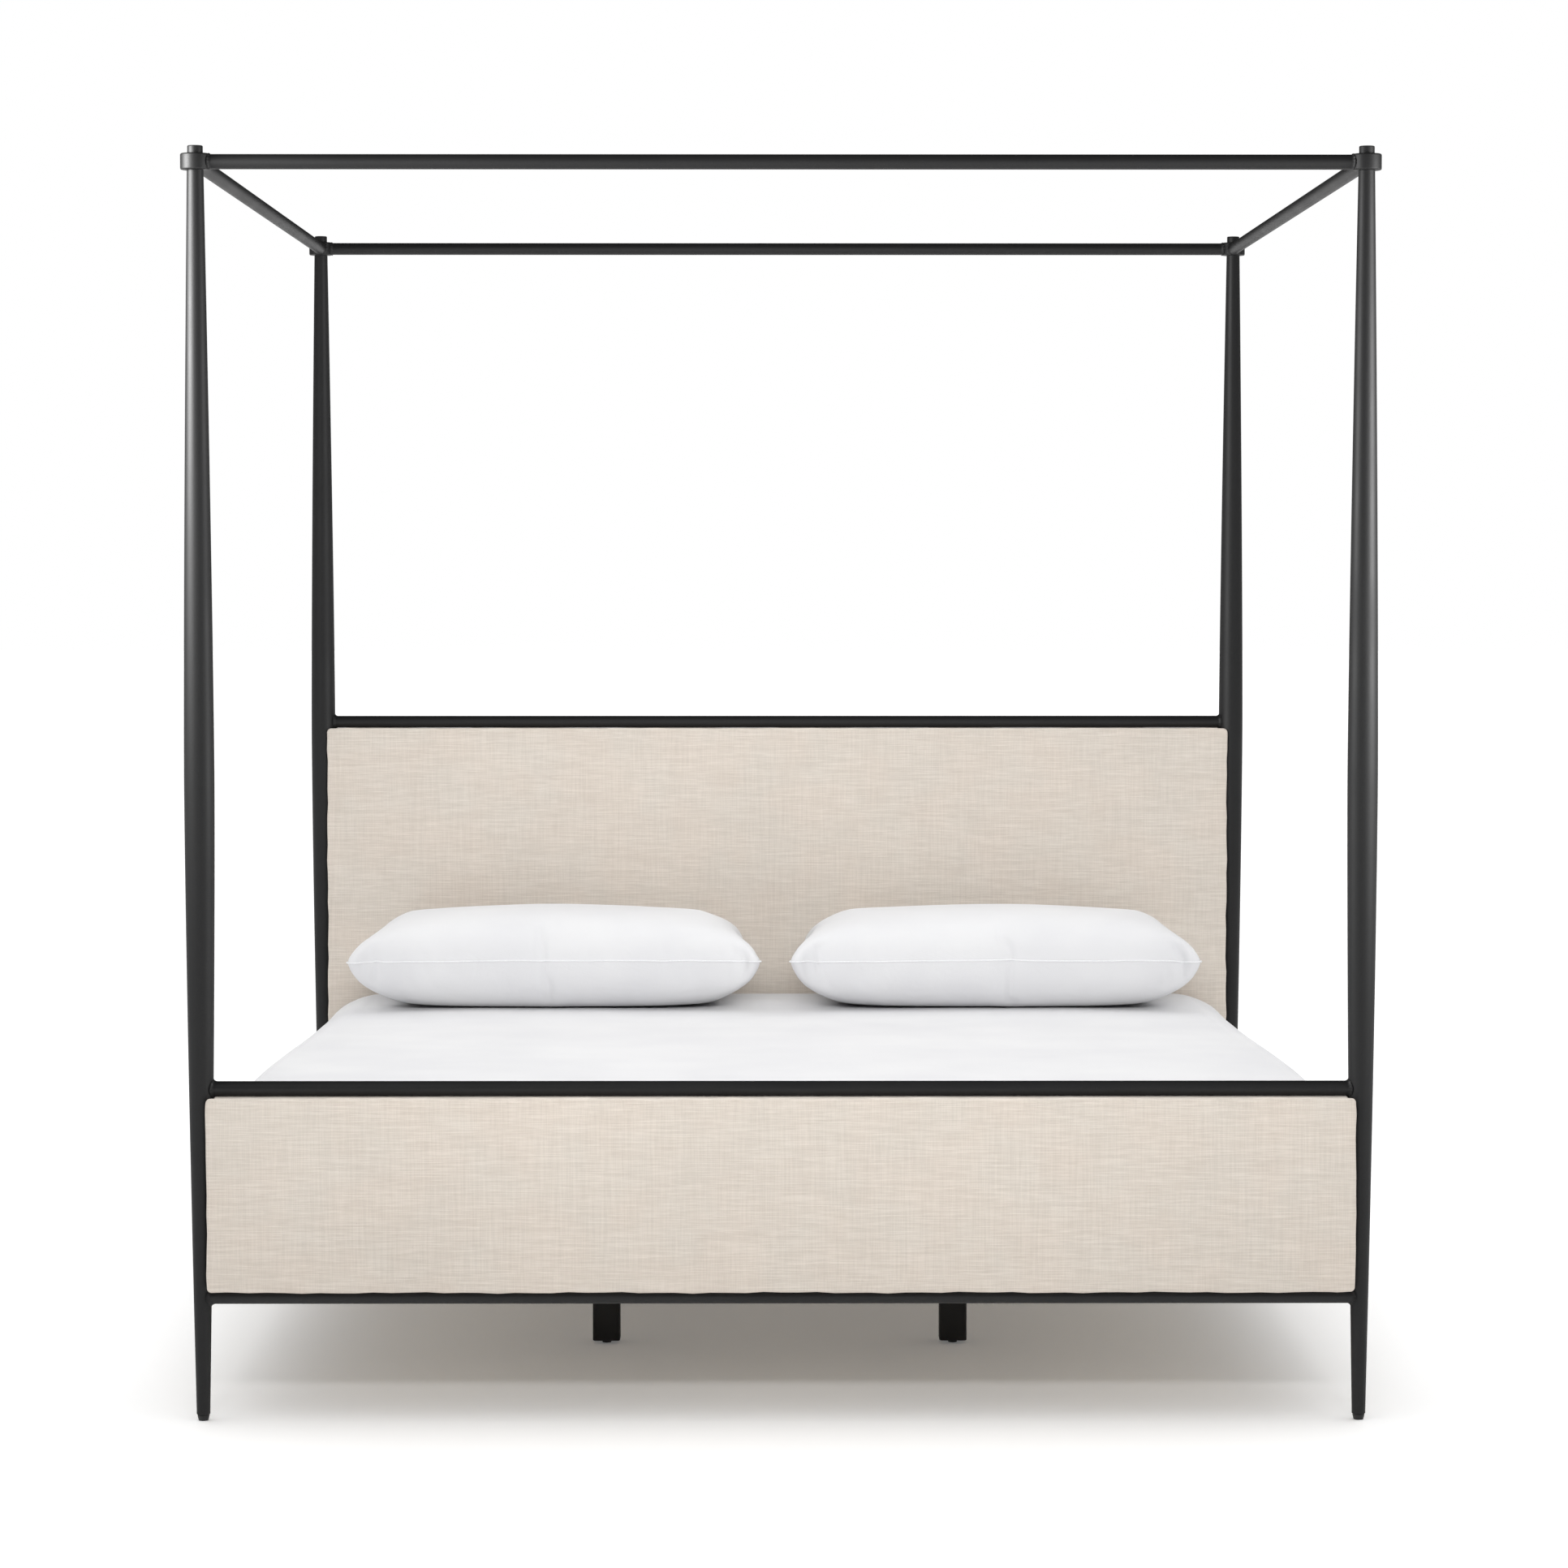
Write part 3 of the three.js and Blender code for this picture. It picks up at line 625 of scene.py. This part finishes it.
def make_middle_supports():
    for side, sx in SIDES.items():
        low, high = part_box(f"support_beam_{side}")
        size = high[2] - low[2]
        centre = np.array([(low[0] + high[0]) / 2, 0, (low[2] + high[2]) / 2])
        verts, faces = bar(rectangle(size, size, 0.004, 6), low[1], high[1], 0.0012)
        node = f"support_beam_{side}"
        add_iron(f"beam_{side}", turn(verts, "y") + centre, faces, node)
    for name, sx, sy in CORNERS:
        node = f"support_leg_{name}"
        low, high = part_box(node)
        x, y = (low[0] + high[0]) / 2, (low[1] + high[1]) / 2
        width = high[0] - low[0]
        flange = 0.004
        verts, faces = bar(rectangle(width, width, 0.005, 6), low[2], high[2] - flange, 0.0012)
        shape = Shape().add(verts + [x, y, 0], faces)
        shape.add(*block((low[0], low[1], high[2] - flange), (high[0], high[1], high[2]), 0.001))
        stud = [(0, -0.0035), (0.0055, -0.0035), (0.0055, 0), (0, 0)]
        verts, faces = lathe(soften(stud, [0, 0.001, 0, 0], 3), 24)
        for way in (-1, 1):
            shape.add(verts + [x, y + way * 0.0345, high[2] - flange], faces)
        add_iron(f"leg_{name}", shape.verts, shape.faces, node)


# ---------------------------------------------------------------- slats


def make_slats():
    low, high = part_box("slat_roll")
    count, width = 14, 0.080
    top = high[2] - 0.0005
    first = low[1] + width / 2
    pitch = (high[1] - low[1] - width) / (count - 1)
    slats, straps, staples = Shape(), Shape(), Shape()
    outline = rectangle(width, top - low[2], 0.0035, 4)
    for i in range(count):
        y = first + i * pitch
        verts, faces = bar(outline, low[0], high[0], 0.002)
        verts = turn(verts, "x") + [0, y, (top + low[2]) / 2]
        slats.add(verts, faces)
    for x in (-0.64, 0, 0.64):
        strap_low = (x - 0.015, first - 0.04, top - 0.0004)
        straps.add(*block(strap_low, (x + 0.015, -first + 0.04, high[2]), 0.0002))
        for i in range(count):
            y = first + i * pitch
            for way in (-1, 1):
                at = x + way * 0.008
                staple_low = (at - 0.005, y - 0.0006, high[2] - 0.0002)
                staples.add(*block(staple_low, (at + 0.005, y + 0.0006, high[2] + 0.0001), 0.0001))
    add_piece("slats", slats.verts, slats.faces, PINE, "slat_wood", stands_for=["slat_roll"])
    add_piece("slat_straps", straps.verts, straps.faces, WEBBING, "slat_wood")
    add_piece("slat_staples", staples.verts, staples.faces, ZINC, "zinc")


# ---------------------------------------------------------------- soft pieces


def edge_grid(length, near, step):
    """Places from -1 to 1 along a side: some given distances from each end, and even steps between."""
    half = length / 2
    near = [d for d in near if d < half]
    inner = half - near[-1]
    count = max(2, int(round(2 * inner / step)))
    middle = np.linspace(-inner, inner, count + 1)
    places = [-(half - d) for d in near[:-1]] + list(middle) + [half - d for d in reversed(near[:-1])]
    return np.array(places) / half


def round_corners(x, z, half_x, half_z, corner):
    """Pulls the corners of a rectangle's grid onto an arc."""
    a = (np.abs(x) - (half_x - corner)) / corner
    b = (np.abs(z) - (half_z - corner)) / corner
    inside = (a > 0) & (b > 0)
    a, b = np.clip(a, 0, 1), np.clip(b, 0, 1)
    arc_x = half_x - corner + corner * a * np.sqrt(1 - b * b / 2)
    arc_z = half_z - corner + corner * b * np.sqrt(1 - a * a / 2)
    return np.where(inside, np.sign(x) * arc_x, x), np.where(inside, np.sign(z) * arc_z, z)


class Cover:
    """A face on a rounded rectangle and loops that go on from its edge. Its own axes are (u, v) across the
    face and w out of it."""

    def __init__(self, us, vs):
        self.us, self.vs = us, vs
        nu, nv = len(us), len(vs)
        self.index = np.arange(nu * nv).reshape(nu, nv)
        grid_u, grid_v = np.meshgrid(us, vs, indexing="ij")
        self.face_uv = np.stack([grid_u.ravel(), grid_v.ravel()], axis=1)
        self.rim = list(self.index[:, 0]) + list(self.index[-1, 1:]) + list(self.index[-2::-1, -1])
        self.rim += list(self.index[0, -2:0:-1])
        self.rim_uv = self.face_uv[self.rim]
        self.points = []
        self.faces = []
        for i in range(nu - 1):
            for j in range(nv - 1):
                a, b = self.index[i, j], self.index[i + 1, j]
                self.faces.append((a, b, b + 1, a + 1))

    def face(self, half_u, half_v, corner, centre_v=0.0):
        u, v = self.face_uv[:, 0] * half_u, self.face_uv[:, 1] * half_v
        u, v = round_corners(u, v, half_u, half_v, corner)
        return u, v + centre_v

    def loop(self, half_u, half_v, corner, centre_v=0.0):
        u, v = self.rim_uv[:, 0] * half_u, self.rim_uv[:, 1] * half_v
        u, v = round_corners(u, v, half_u, half_v, corner)
        return u, v + centre_v

    def put(self, u, v, w):
        self.points.append(np.stack([u, v, np.broadcast_to(w, u.shape)], axis=1))

    def close(self, cap=False):
        """All points, and the faces that join the face and the loops in turn."""
        count = len(self.rim)
        start = len(self.face_uv)
        last = list(self.rim)
        for loop in range(len(self.points) - 1):
            ring = list(range(start + loop * count, start + (loop + 1) * count))
            for k in range(count):
                after = (k + 1) % count
                self.faces.append((last[k], last[after], ring[after], ring[k]))
            last = ring
        if cap:
            self.faces.append(tuple(last))
        return np.vstack(self.points), self.faces

    def outward(self):
        """The direction out of the rim at each of its points, across the face."""
        direction = np.sign(self.rim_uv) * np.abs(self.rim_uv) ** 40
        return direction / np.maximum(np.linalg.norm(direction, axis=1, keepdims=True), 1e-6)

    def along(self, half_u, half_v):
        """The distance along the rim at each of its points."""
        points = self.rim_uv * [half_u, half_v]
        steps = np.linalg.norm(np.roll(points, -1, axis=0) - points, axis=1)
        return np.concatenate([[0], np.cumsum(steps)[:-1]])


def waves(places, *terms):
    """A sum of sine waves, each (wavelength, height, phase)."""
    return sum(height * np.sin(TAU * places / length + phase) for length, height, phase in terms)


def make_panel_pad(name, pad, towards, lip, phase):
    """One linen-covered face of a panel, its cloth pulled round to the middle of the panel's thickness.
    The face stands a little proud of the iron, and its rolled side edges lie over the posts."""
    low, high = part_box(pad)
    end = math.copysign(1, low[1])
    middle_y = end * POST_Y
    depth = max(abs(low[1] - middle_y), abs(high[1] - middle_y))
    half_x, half_z = (high[0] - low[0]) / 2, (high[2] - low[2]) / 2
    centre = (high[2] + low[2]) / 2
    foot_lip = 0.0035
    near = [0, 0.002, 0.004, 0.007, 0.010, 0.014, 0.02, 0.03, 0.045, 0.07, 0.1]
    cover = Cover(edge_grid(2 * half_x, near, 0.030), edge_grid(2 * half_z, near, 0.030))
    roll = 0.007
    s = cover.along(half_x, half_z)
    out = cover.outward()
    ripple = waves(s, (0.083, 0.00055, phase), (0.047, 0.00035, 2 * phase), (0.31, 0.0007, phase + 1))
    # (share of the lip, inset from its tip, distance from the panel's middle plane, share of the ripple)
    rows = [
        (1, roll, depth - 0.0002, 0.2),
        (1, 0.0040, depth - 0.0011, 0.6),
        (1, 0.0018, depth - 0.0026, 1.0),
        (1, 0.0004, depth - 0.0045, 1.0),
        (1, 0.0004, depth - 0.0062, 0.9),
        (0.86, 0.0010, depth - 0.0074, 0.7),
        (0.35, 0.0008, depth - 0.0082, 0.4),
        (0.0, 0.0004, depth - 0.0105, 0.2),
        (0.0, 0.0, depth - 0.018, 0.1),
        (0.0, 0.0, 0.0004, 0.0),
    ]
    for index, (share, inset, w, rippled) in enumerate(rows):
        side = share * lip - inset
        top = -inset
        bottom = share * foot_lip - inset
        hx, hz = half_x + side, half_z + (top + bottom) / 2
        shift = (top - bottom) / 2
        corner = 0.004 + 0.3 * max(side, 0)
        if index == 0:
            u, v = cover.face(hx, hz, corner, shift)
            edge = np.minimum(hx - np.abs(u), hz - np.abs(v - shift))
            crown = 0.0012 * (1 - np.exp(-np.clip(edge, 0, 1) / 0.035))
            swell = 0.00045 * (np.sin(7.1 * u + phase) * np.sin(9.3 * v + 2 * phase) + np.sin(17 * u + 5 * v))
            pulled = 0.0004 * np.exp(-np.clip(edge, 0, 1) / 0.05) * np.sin(TAU * (u + v) / 0.062 + phase)
            cover.put(u, v, w - 0.0012 + crown + (swell + pulled) * np.clip(edge / 0.02, 0, 1))
            continue
        u, v = cover.loop(hx, hz, corner, shift)
        cover.put(u + out[:, 0] * ripple * rippled, v + out[:, 1] * ripple * rippled, w)
    points, faces = cover.close()
    place = np.stack([points[:, 0], middle_y + towards * points[:, 2], centre + points[:, 1]], axis=1)
    piece = add_piece(name, place, faces, LINEN, "linen", stands_for=[pad], sharp=180)
    return piece


def make_panels():
    lips = {"head": 0.0172, "foot": 0.0122}
    make_panel_pad("headboard_linen_front", "headboard_front_pad", -1, lips["head"], 0.4)
    make_panel_pad("headboard_linen_back", "headboard_back_pad", 1, lips["head"], 1.7)
    make_panel_pad("footboard_linen_outer", "footboard_outer_pad", -1, lips["foot"], 2.9)
    make_panel_pad("footboard_linen_inner", "footboard_inner_pad", 1, lips["foot"], 4.2)


def soft_box(inset, rows, us_step, corner, half_x, half_y, shape_top, shape_side):
    """A soft block: a top face that curves over to its sides and in underneath. Rows are (offset out,
    height)."""
    near = [0, 0.012, 0.026, 0.042, 0.06, 0.08, 0.105]
    cover = Cover(edge_grid(2 * half_x, near, us_step), edge_grid(2 * half_y, near, us_step))
    out = cover.outward()
    s = cover.along(half_x, half_y)
    for index, (offset, height) in enumerate(rows):
        hx, hy = half_x - inset + offset, half_y - inset + offset
        rounding = max(corner - inset + offset, 0.012)
        if index == 0:
            u, v = cover.face(hx, hy, rounding)
            cover.put(u, v, height + shape_top(u, v, hx, hy))
            continue
        u, v = cover.loop(hx, hy, rounding)
        push, lift = shape_side(s, u, v, height)
        cover.put(u + out[:, 0] * push, v + out[:, 1] * push, height + lift)
    return cover


def corner_nearness(u, v, half_x, half_y, spread):
    away = np.hypot(half_x - np.abs(u), half_y - np.abs(v))
    return np.exp(-((away / spread) ** 2))


def round_shoulders(points, top, half_y):
    """Rounds the top's long edges more and more towards the head end, and the edge there."""
    level = np.clip((points[:, 2] - (top - 0.078)) / 0.078, 0, 1) ** 2
    towards = np.clip((points[:, 1] / half_y + 0.55) / 1.45, 0, 1)
    towards = towards * towards * (3 - 2 * towards)
    points[:, 0] *= 1 - 0.070 * level * towards
    end = np.clip((points[:, 1] / half_y - 0.6) / 0.4, 0, 1)
    points[:, 1] *= 1 - 0.025 * level * end**2
    return points


def make_mattress():
    low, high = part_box("fitted_sheet")
    half_x, half_y = (high[0] - low[0]) / 2, (high[1] - low[1]) / 2
    foot, top = low[2], high[2]
    edge = 0.034
    quarter = [math.radians(a) for a in (78, 62, 46, 30, 15, 0)]

    def crown(u, v, hx, hy):
        dome = (1 - (u / hx) ** 6) * (1 - (v / hy) ** 6)
        drag = waves(u + 0.25 * v, (0.61, 0.0006, 0.2), (0.27, 0.0003, 1.1))
        return -0.0022 + 0.0022 * dome + drag * dome

    def side_shape(s, u, v, height):
        level = (height - foot) / (top - foot)
        corner = corner_nearness(u, v, half_x, half_y, 0.17)
        folds = waves(s + 0.35 * height, (0.038, 0.0016, 0.0), (0.061, 0.0012, 1.0), (0.023, 0.0006, 2.0))
        gather = folds * corner * np.clip(1.35 - level, 0, 1)
        middle = math.sin(math.pi * min(max(level, 0), 1))
        drag = waves(s + 0.15 * height, (0.43, 0.0009, 0.5), (0.19, 0.0005, 2.5)) * middle
        return gather + drag, 0.0

    rows = [(-edge, top)]
    rows += [(-edge * (1 - math.cos(a)), top - edge * (1 - math.sin(a))) for a in quarter]
    for level in np.linspace(0.82, 0.16, 9):
        rows.append((0.0, foot + level * (top - foot)))
    turn_in = 0.022
    rows += [(-turn_in * (1 - math.cos(a)), foot + turn_in * (1 - math.sin(a))) for a in reversed(quarter)]
    rows += [(-turn_in - d, foot + 0.0002) for d in (0.012, 0.03, 0.05, 0.066)]
    cover = soft_box(0, rows, 0.035, 0.070, half_x, half_y, crown, side_shape)
    points, faces = cover.close()
    points = round_shoulders(points, top, half_y)
    stands_for = ["fitted_sheet"]
    cloth = (COTTON, "cotton", "mattress")
    sheet = add_piece("cotton_fitted_sheet", points, faces, *cloth, stands_for, sharp=180)

    def flat_top(u, *_):
        return np.zeros_like(u)

    def even_side(s, *_):
        return np.zeros_like(s), 0.0

    inset = 0.0042
    low_z, high_z = foot + inset, top - inset
    rows = [(-edge, high_z)]
    rows += [(-edge * (1 - math.cos(a)), high_z - edge * (1 - math.sin(a))) for a in quarter]
    rows += [(-edge * (1 - math.cos(a)), low_z + edge * (1 - math.sin(a))) for a in reversed(quarter)]
    rows += [(-edge - 0.02, low_z), (-edge - 0.3, low_z - 0.0008)]
    cover = soft_box(inset, rows, 0.12, 0.070, half_x, half_y, flat_top, even_side)
    points, faces = cover.close(cap=True)
    points = round_shoulders(points, top, half_y)
    stands_for = ["mattress"]
    core = add_piece("mattress_ticking", points, faces, TICKING, "ticking", "mattress", stands_for, sharp=60)


# ---------------------------------------------------------------- pillows

PILLOW_SIZE = (0.93, 0.545)
PILLOW_GRID = (84, 50)


def flat_case(size, grid):
    """A flat pillowcase: two rectangles of cloth that share their edge, corners a little rounded."""
    nu, nv = grid
    half_x, half_y = size[0] / 2, size[1] / 2
    us, vs = np.linspace(-1, 1, nu + 1), np.linspace(-1, 1, nv + 1)
    points, index = [], {}
    for layer in (1, -1):
        for i, u in enumerate(us):
            for j, v in enumerate(vs):
                rim = i in (0, nu) or j in (0, nv)
                if rim and layer < 0:
                    index[layer, i, j] = index[1, i, j]
                    continue
                x, y = u * half_x, v * half_y
                x, y = round_corners(np.array(x), np.array(y), half_x, half_y, 0.03)
                puff = 0.012 * (1 - u**2) * (1 - v**2) + (0 if rim else 0.002)
                puff *= 1 + 0.2 * math.sin(5.3 * u + 3.1 * v + layer) + 0.15 * math.sin(11.7 * u - 6.1 * v)
                index[layer, i, j] = len(points)
                points.append((float(x), float(y), layer * puff))
    faces = []
    for layer in (1, -1):
        for i in range(nu):
            for j in range(nv):
                corners = ((i, j), (i + 1, j), (i + 1, j + 1), (i, j + 1))
                quad = [index[(layer, *corner)] for corner in corners]
                faces.append(quad if layer > 0 else quad[::-1])
    rim = [index[1, i, 0] for i in range(nu + 1)] + [index[1, nu, j] for j in range(1, nv + 1)]
    rim += [index[1, i, nv] for i in range(nu - 1, -1, -1)] + [index[1, 0, j] for j in range(nv - 1, 0, -1)]
    return np.array(points), faces, rim


def inflate(points, faces, pressure, frames, volume):
    """Fills a case by cloth simulation and returns where its points end."""
    mesh = bpy.data.meshes.new("case")
    mesh.from_pydata(points.tolist(), [], faces)
    case = bpy.data.objects.new("case", mesh)
    bpy.context.scene.collection.objects.link(case)
    cloth = case.modifiers.new("cloth", "CLOTH")
    settings = cloth.settings
    settings.quality = 6
    settings.mass = 0.3
    settings.tension_stiffness = 15
    settings.compression_stiffness = 0.5
    settings.shear_stiffness = 5
    settings.bending_stiffness = 0.5
    settings.tension_damping = settings.compression_damping = 5
    settings.air_damping = 2.0
    settings.use_pressure = True
    settings.uniform_pressure_force = pressure
    settings.use_pressure_volume = True
    settings.target_volume = volume
    settings.effector_weights.gravity = 0
    cloth.collision_settings.use_collision = False
    cloth.point_cache.frame_start, cloth.point_cache.frame_end = 1, frames
    scene = bpy.context.scene
    for number in range(1, frames + 1):
        scene.frame_set(number)
    shown = case.evaluated_get(bpy.context.evaluated_depsgraph_get())
    result = np.zeros(len(points) * 3)
    shown.data.vertices.foreach_get("co", result)
    scene.frame_set(1)
    bpy.data.objects.remove(case)
    return result.reshape(-1, 3)


def make_pillows():
    """Two pillows, each resting on a flattened underside. The corners at the head end are tucked in."""
    points, faces, rim = flat_case(PILLOW_SIZE, PILLOW_GRID)
    filled = inflate(points, faces, 6.0, 40, 0.048)
    seam_height = 0.105
    for side, sx in SIDES.items():
        low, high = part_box(f"pillow_{side}")
        half_x, half_y = (high[0] - low[0]) / 2, (high[1] - low[1]) / 2
        rise = high[2] - low[2] - seam_height
        place = filled * [sx, sx, 1]
        place *= [half_x / np.abs(place[:, 0]).max(), half_y / np.abs(place[:, 1]).max(), 1]
        height = place[:, 2] / np.abs(place[:, 2]).max()
        height = np.sign(height) * np.abs(height) ** 0.80
        lower = seam_height + 0.026
        place[:, 2] = np.where(height > 0, rise, lower) * height
        back = np.clip(place[:, 1] / half_y, 0, 1) ** 2
        out = np.abs(place[:, 0]) / half_x
        place[:, 0] *= 1 - 0.10 * back * out**3
        place[:, 2] -= 0.022 * back * out**4
        softness = 0.007
        sunk = (place[:, 2] + seam_height - 0.001) / softness
        place[:, 2] = softness * np.log1p(np.exp(np.clip(sunk, -30, 30))) - seam_height + 0.001
        shift = {"left": -0.007, "right": -0.006}[side]
        at = place + [(low[0] + high[0]) / 2 + shift, (low[1] + high[1]) / 2, low[2] + seam_height]
        body = f"pillow_{side}"
        pillow = add_piece(f"cotton_pillow_{side}", at, faces, COTTON, "cotton", body, [body], sharp=180)
        smoothing = pillow.modifiers.new("smooth", "SUBSURF")
        smoothing.levels = smoothing.render_levels = 1
        add_seam(f"pillow_seam_{side}", at[rim], body)


def add_seam(name, path, body):
    """The case's stitched edge: a thin closed cord along its rim."""
    count = len(path)
    ahead = np.roll(path, -1, axis=0) - np.roll(path, 1, axis=0)
    ahead /= np.linalg.norm(ahead, axis=1, keepdims=True)
    upward = np.tile([0.0, 0.0, 1.0], (count, 1))
    across = np.cross(ahead, upward)
    across /= np.linalg.norm(across, axis=1, keepdims=True)
    upward = np.cross(across, ahead)
    section = [(math.cos(k * TAU / 8), math.sin(k * TAU / 8)) for k in range(8)]
    verts, faces = sweep(path, across, upward, section, 0.0019)
    seam = add_piece(name, verts, faces, THREAD, "cotton", body, sharp=180)
    smoothing = seam.modifiers.new("smooth", "SUBSURF")
    smoothing.levels = smoothing.render_levels = 1


# ---------------------------------------------------------------- stage

# Radiances, where 1 is shown as white: the sky at the horizon, its rise to the zenith and to the back,
# what glossy surfaces see of the walls, and the floor's own glow.
SKY_LEVEL, SKY_OVERHEAD, SKY_BEHIND = 0.10, 1.46, 0.35
WALL_REFLECTION = 0.04
FLOOR_GLOW = 0.12


def make_stage():
    """A white floor, and a studio whose light comes mostly from overhead and whose walls reflect dark."""
    mesh = bpy.data.meshes.new("floor")
    reach = 60
    corners = [(-reach, -reach, 0), (reach, -reach, 0), (reach, reach, 0), (-reach, reach, 0)]
    mesh.from_pydata(corners, [], [(0, 1, 2, 3)])
    floor = bpy.data.objects.new("floor", mesh)
    bpy.context.scene.collection.objects.link(floor)
    shader = Shader("white_floor", (0.97, 0.97, 0.97), 0.9, 0.0, Specular_IOR_Level=0.0)
    shader.bsdf.inputs["Emission Color"].default_value = (1, 1, 1, 1)
    shader.bsdf.inputs["Emission Strength"].default_value = FLOOR_GLOW
    mesh.materials.append(shader.material)
    world = bpy.data.worlds.new("studio")
    bpy.context.scene.world = world
    world.use_nodes = True
    world.cycles.sampling_method = "NONE"
    tree = world.node_tree
    direction = tree.nodes.new("ShaderNodeTexCoord").outputs["Generated"]
    slope = tree.nodes.new("ShaderNodeVectorMath")
    slope.operation = "DOT_PRODUCT"
    tree.links.new(direction, slope.inputs[0])
    slope.inputs[1].default_value = (0, SKY_BEHIND, SKY_OVERHEAD)
    sky = tree.nodes.new("ShaderNodeMath")
    tree.links.new(slope.outputs["Value"], sky.inputs[0])
    sky.inputs[1].default_value = SKY_LEVEL
    floored = tree.nodes.new("ShaderNodeMath")
    floored.operation = "MAXIMUM"
    tree.links.new(sky.outputs["Value"], floored.inputs[0])
    floored.inputs[1].default_value = 0.0
    rays = tree.nodes.new("ShaderNodeLightPath")
    strength = floored.outputs["Value"]
    for kind, level in (("Is Glossy Ray", WALL_REFLECTION), ("Is Camera Ray", 1.0)):
        choice = tree.nodes.new("ShaderNodeMix")
        tree.links.new(rays.outputs[kind], choice.inputs[0])
        tree.links.new(strength, choice.inputs[2])
        choice.inputs[3].default_value = level
        strength = choice.outputs[0]
    tree.links.new(strength, tree.nodes["Background"].inputs["Strength"])
    tree.nodes["Background"].inputs["Color"].default_value = (1, 1, 1, 1)
    bpy.context.scene.view_settings.view_transform = "Standard"


def add_softbox(name, place, aim, size, radiance, spread=180):
    lamp = bpy.data.lights.new(name, "AREA")
    lamp.shape = "RECTANGLE"
    lamp.size, lamp.size_y = size
    lamp.energy = radiance * size[0] * size[1] * math.pi
    lamp.spread = math.radians(spread)
    holder = bpy.data.objects.new(name, lamp)
    holder.location = place
    holder.rotation_euler = (Vector(aim) - Vector(place)).to_track_quat("-Z", "Y").to_euler()
    holder.visible_camera = False
    bpy.context.scene.collection.objects.link(holder)
    return holder


def make_camera():
    camera = bpy.data.objects.new("camera", bpy.data.cameras.new("camera"))
    camera.data.lens = 101.58
    camera.data.sensor_width = 36
    camera.data.clip_end = 500
    camera.location = (-0.031, -8.542, 1.472)
    camera.rotation_euler = (math.radians(87.045), 0, math.radians(-0.272))
    bpy.context.scene.collection.objects.link(camera)
    bpy.context.scene.camera = camera


make_camera()
make_posts()
make_glides()
make_collars_and_finials()
make_rails()
make_side_rails()
make_middle_supports()
make_slats()
make_panels()
make_mattress()
make_pillows()
for node in ("headboard_core", "footboard_core"):
    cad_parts[node].data.materials.clear()
    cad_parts[node].data.materials.append(PLYWOOD)
for name, _, _ in CORNERS:
    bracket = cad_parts[f"rail_bracket_{name}"]
    bracket.data.materials.clear()
    bracket.data.materials.append(IRON)
make_stage()
left = add_softbox("left_softbox", (-2.15, -1.65, 2.10), (-0.985, -1.06, 1.85), (0.8, 0.8), 14, 80)
right = add_softbox("right_softbox", (2.2, -1.65, 1.65), (0.985, -1.06, 1.55), (0.7, 1.0), 6, 80)
front = add_softbox("front_softbox", (0, -5.0, 2.5), (0, 1.0, 0.95), (3.0, 0.4), 4.1, 50)
# The two side lamps only draw highlights, and the front lamp draws none.
left.visible_diffuse = right.visible_diffuse = False
front.visible_glossy = False
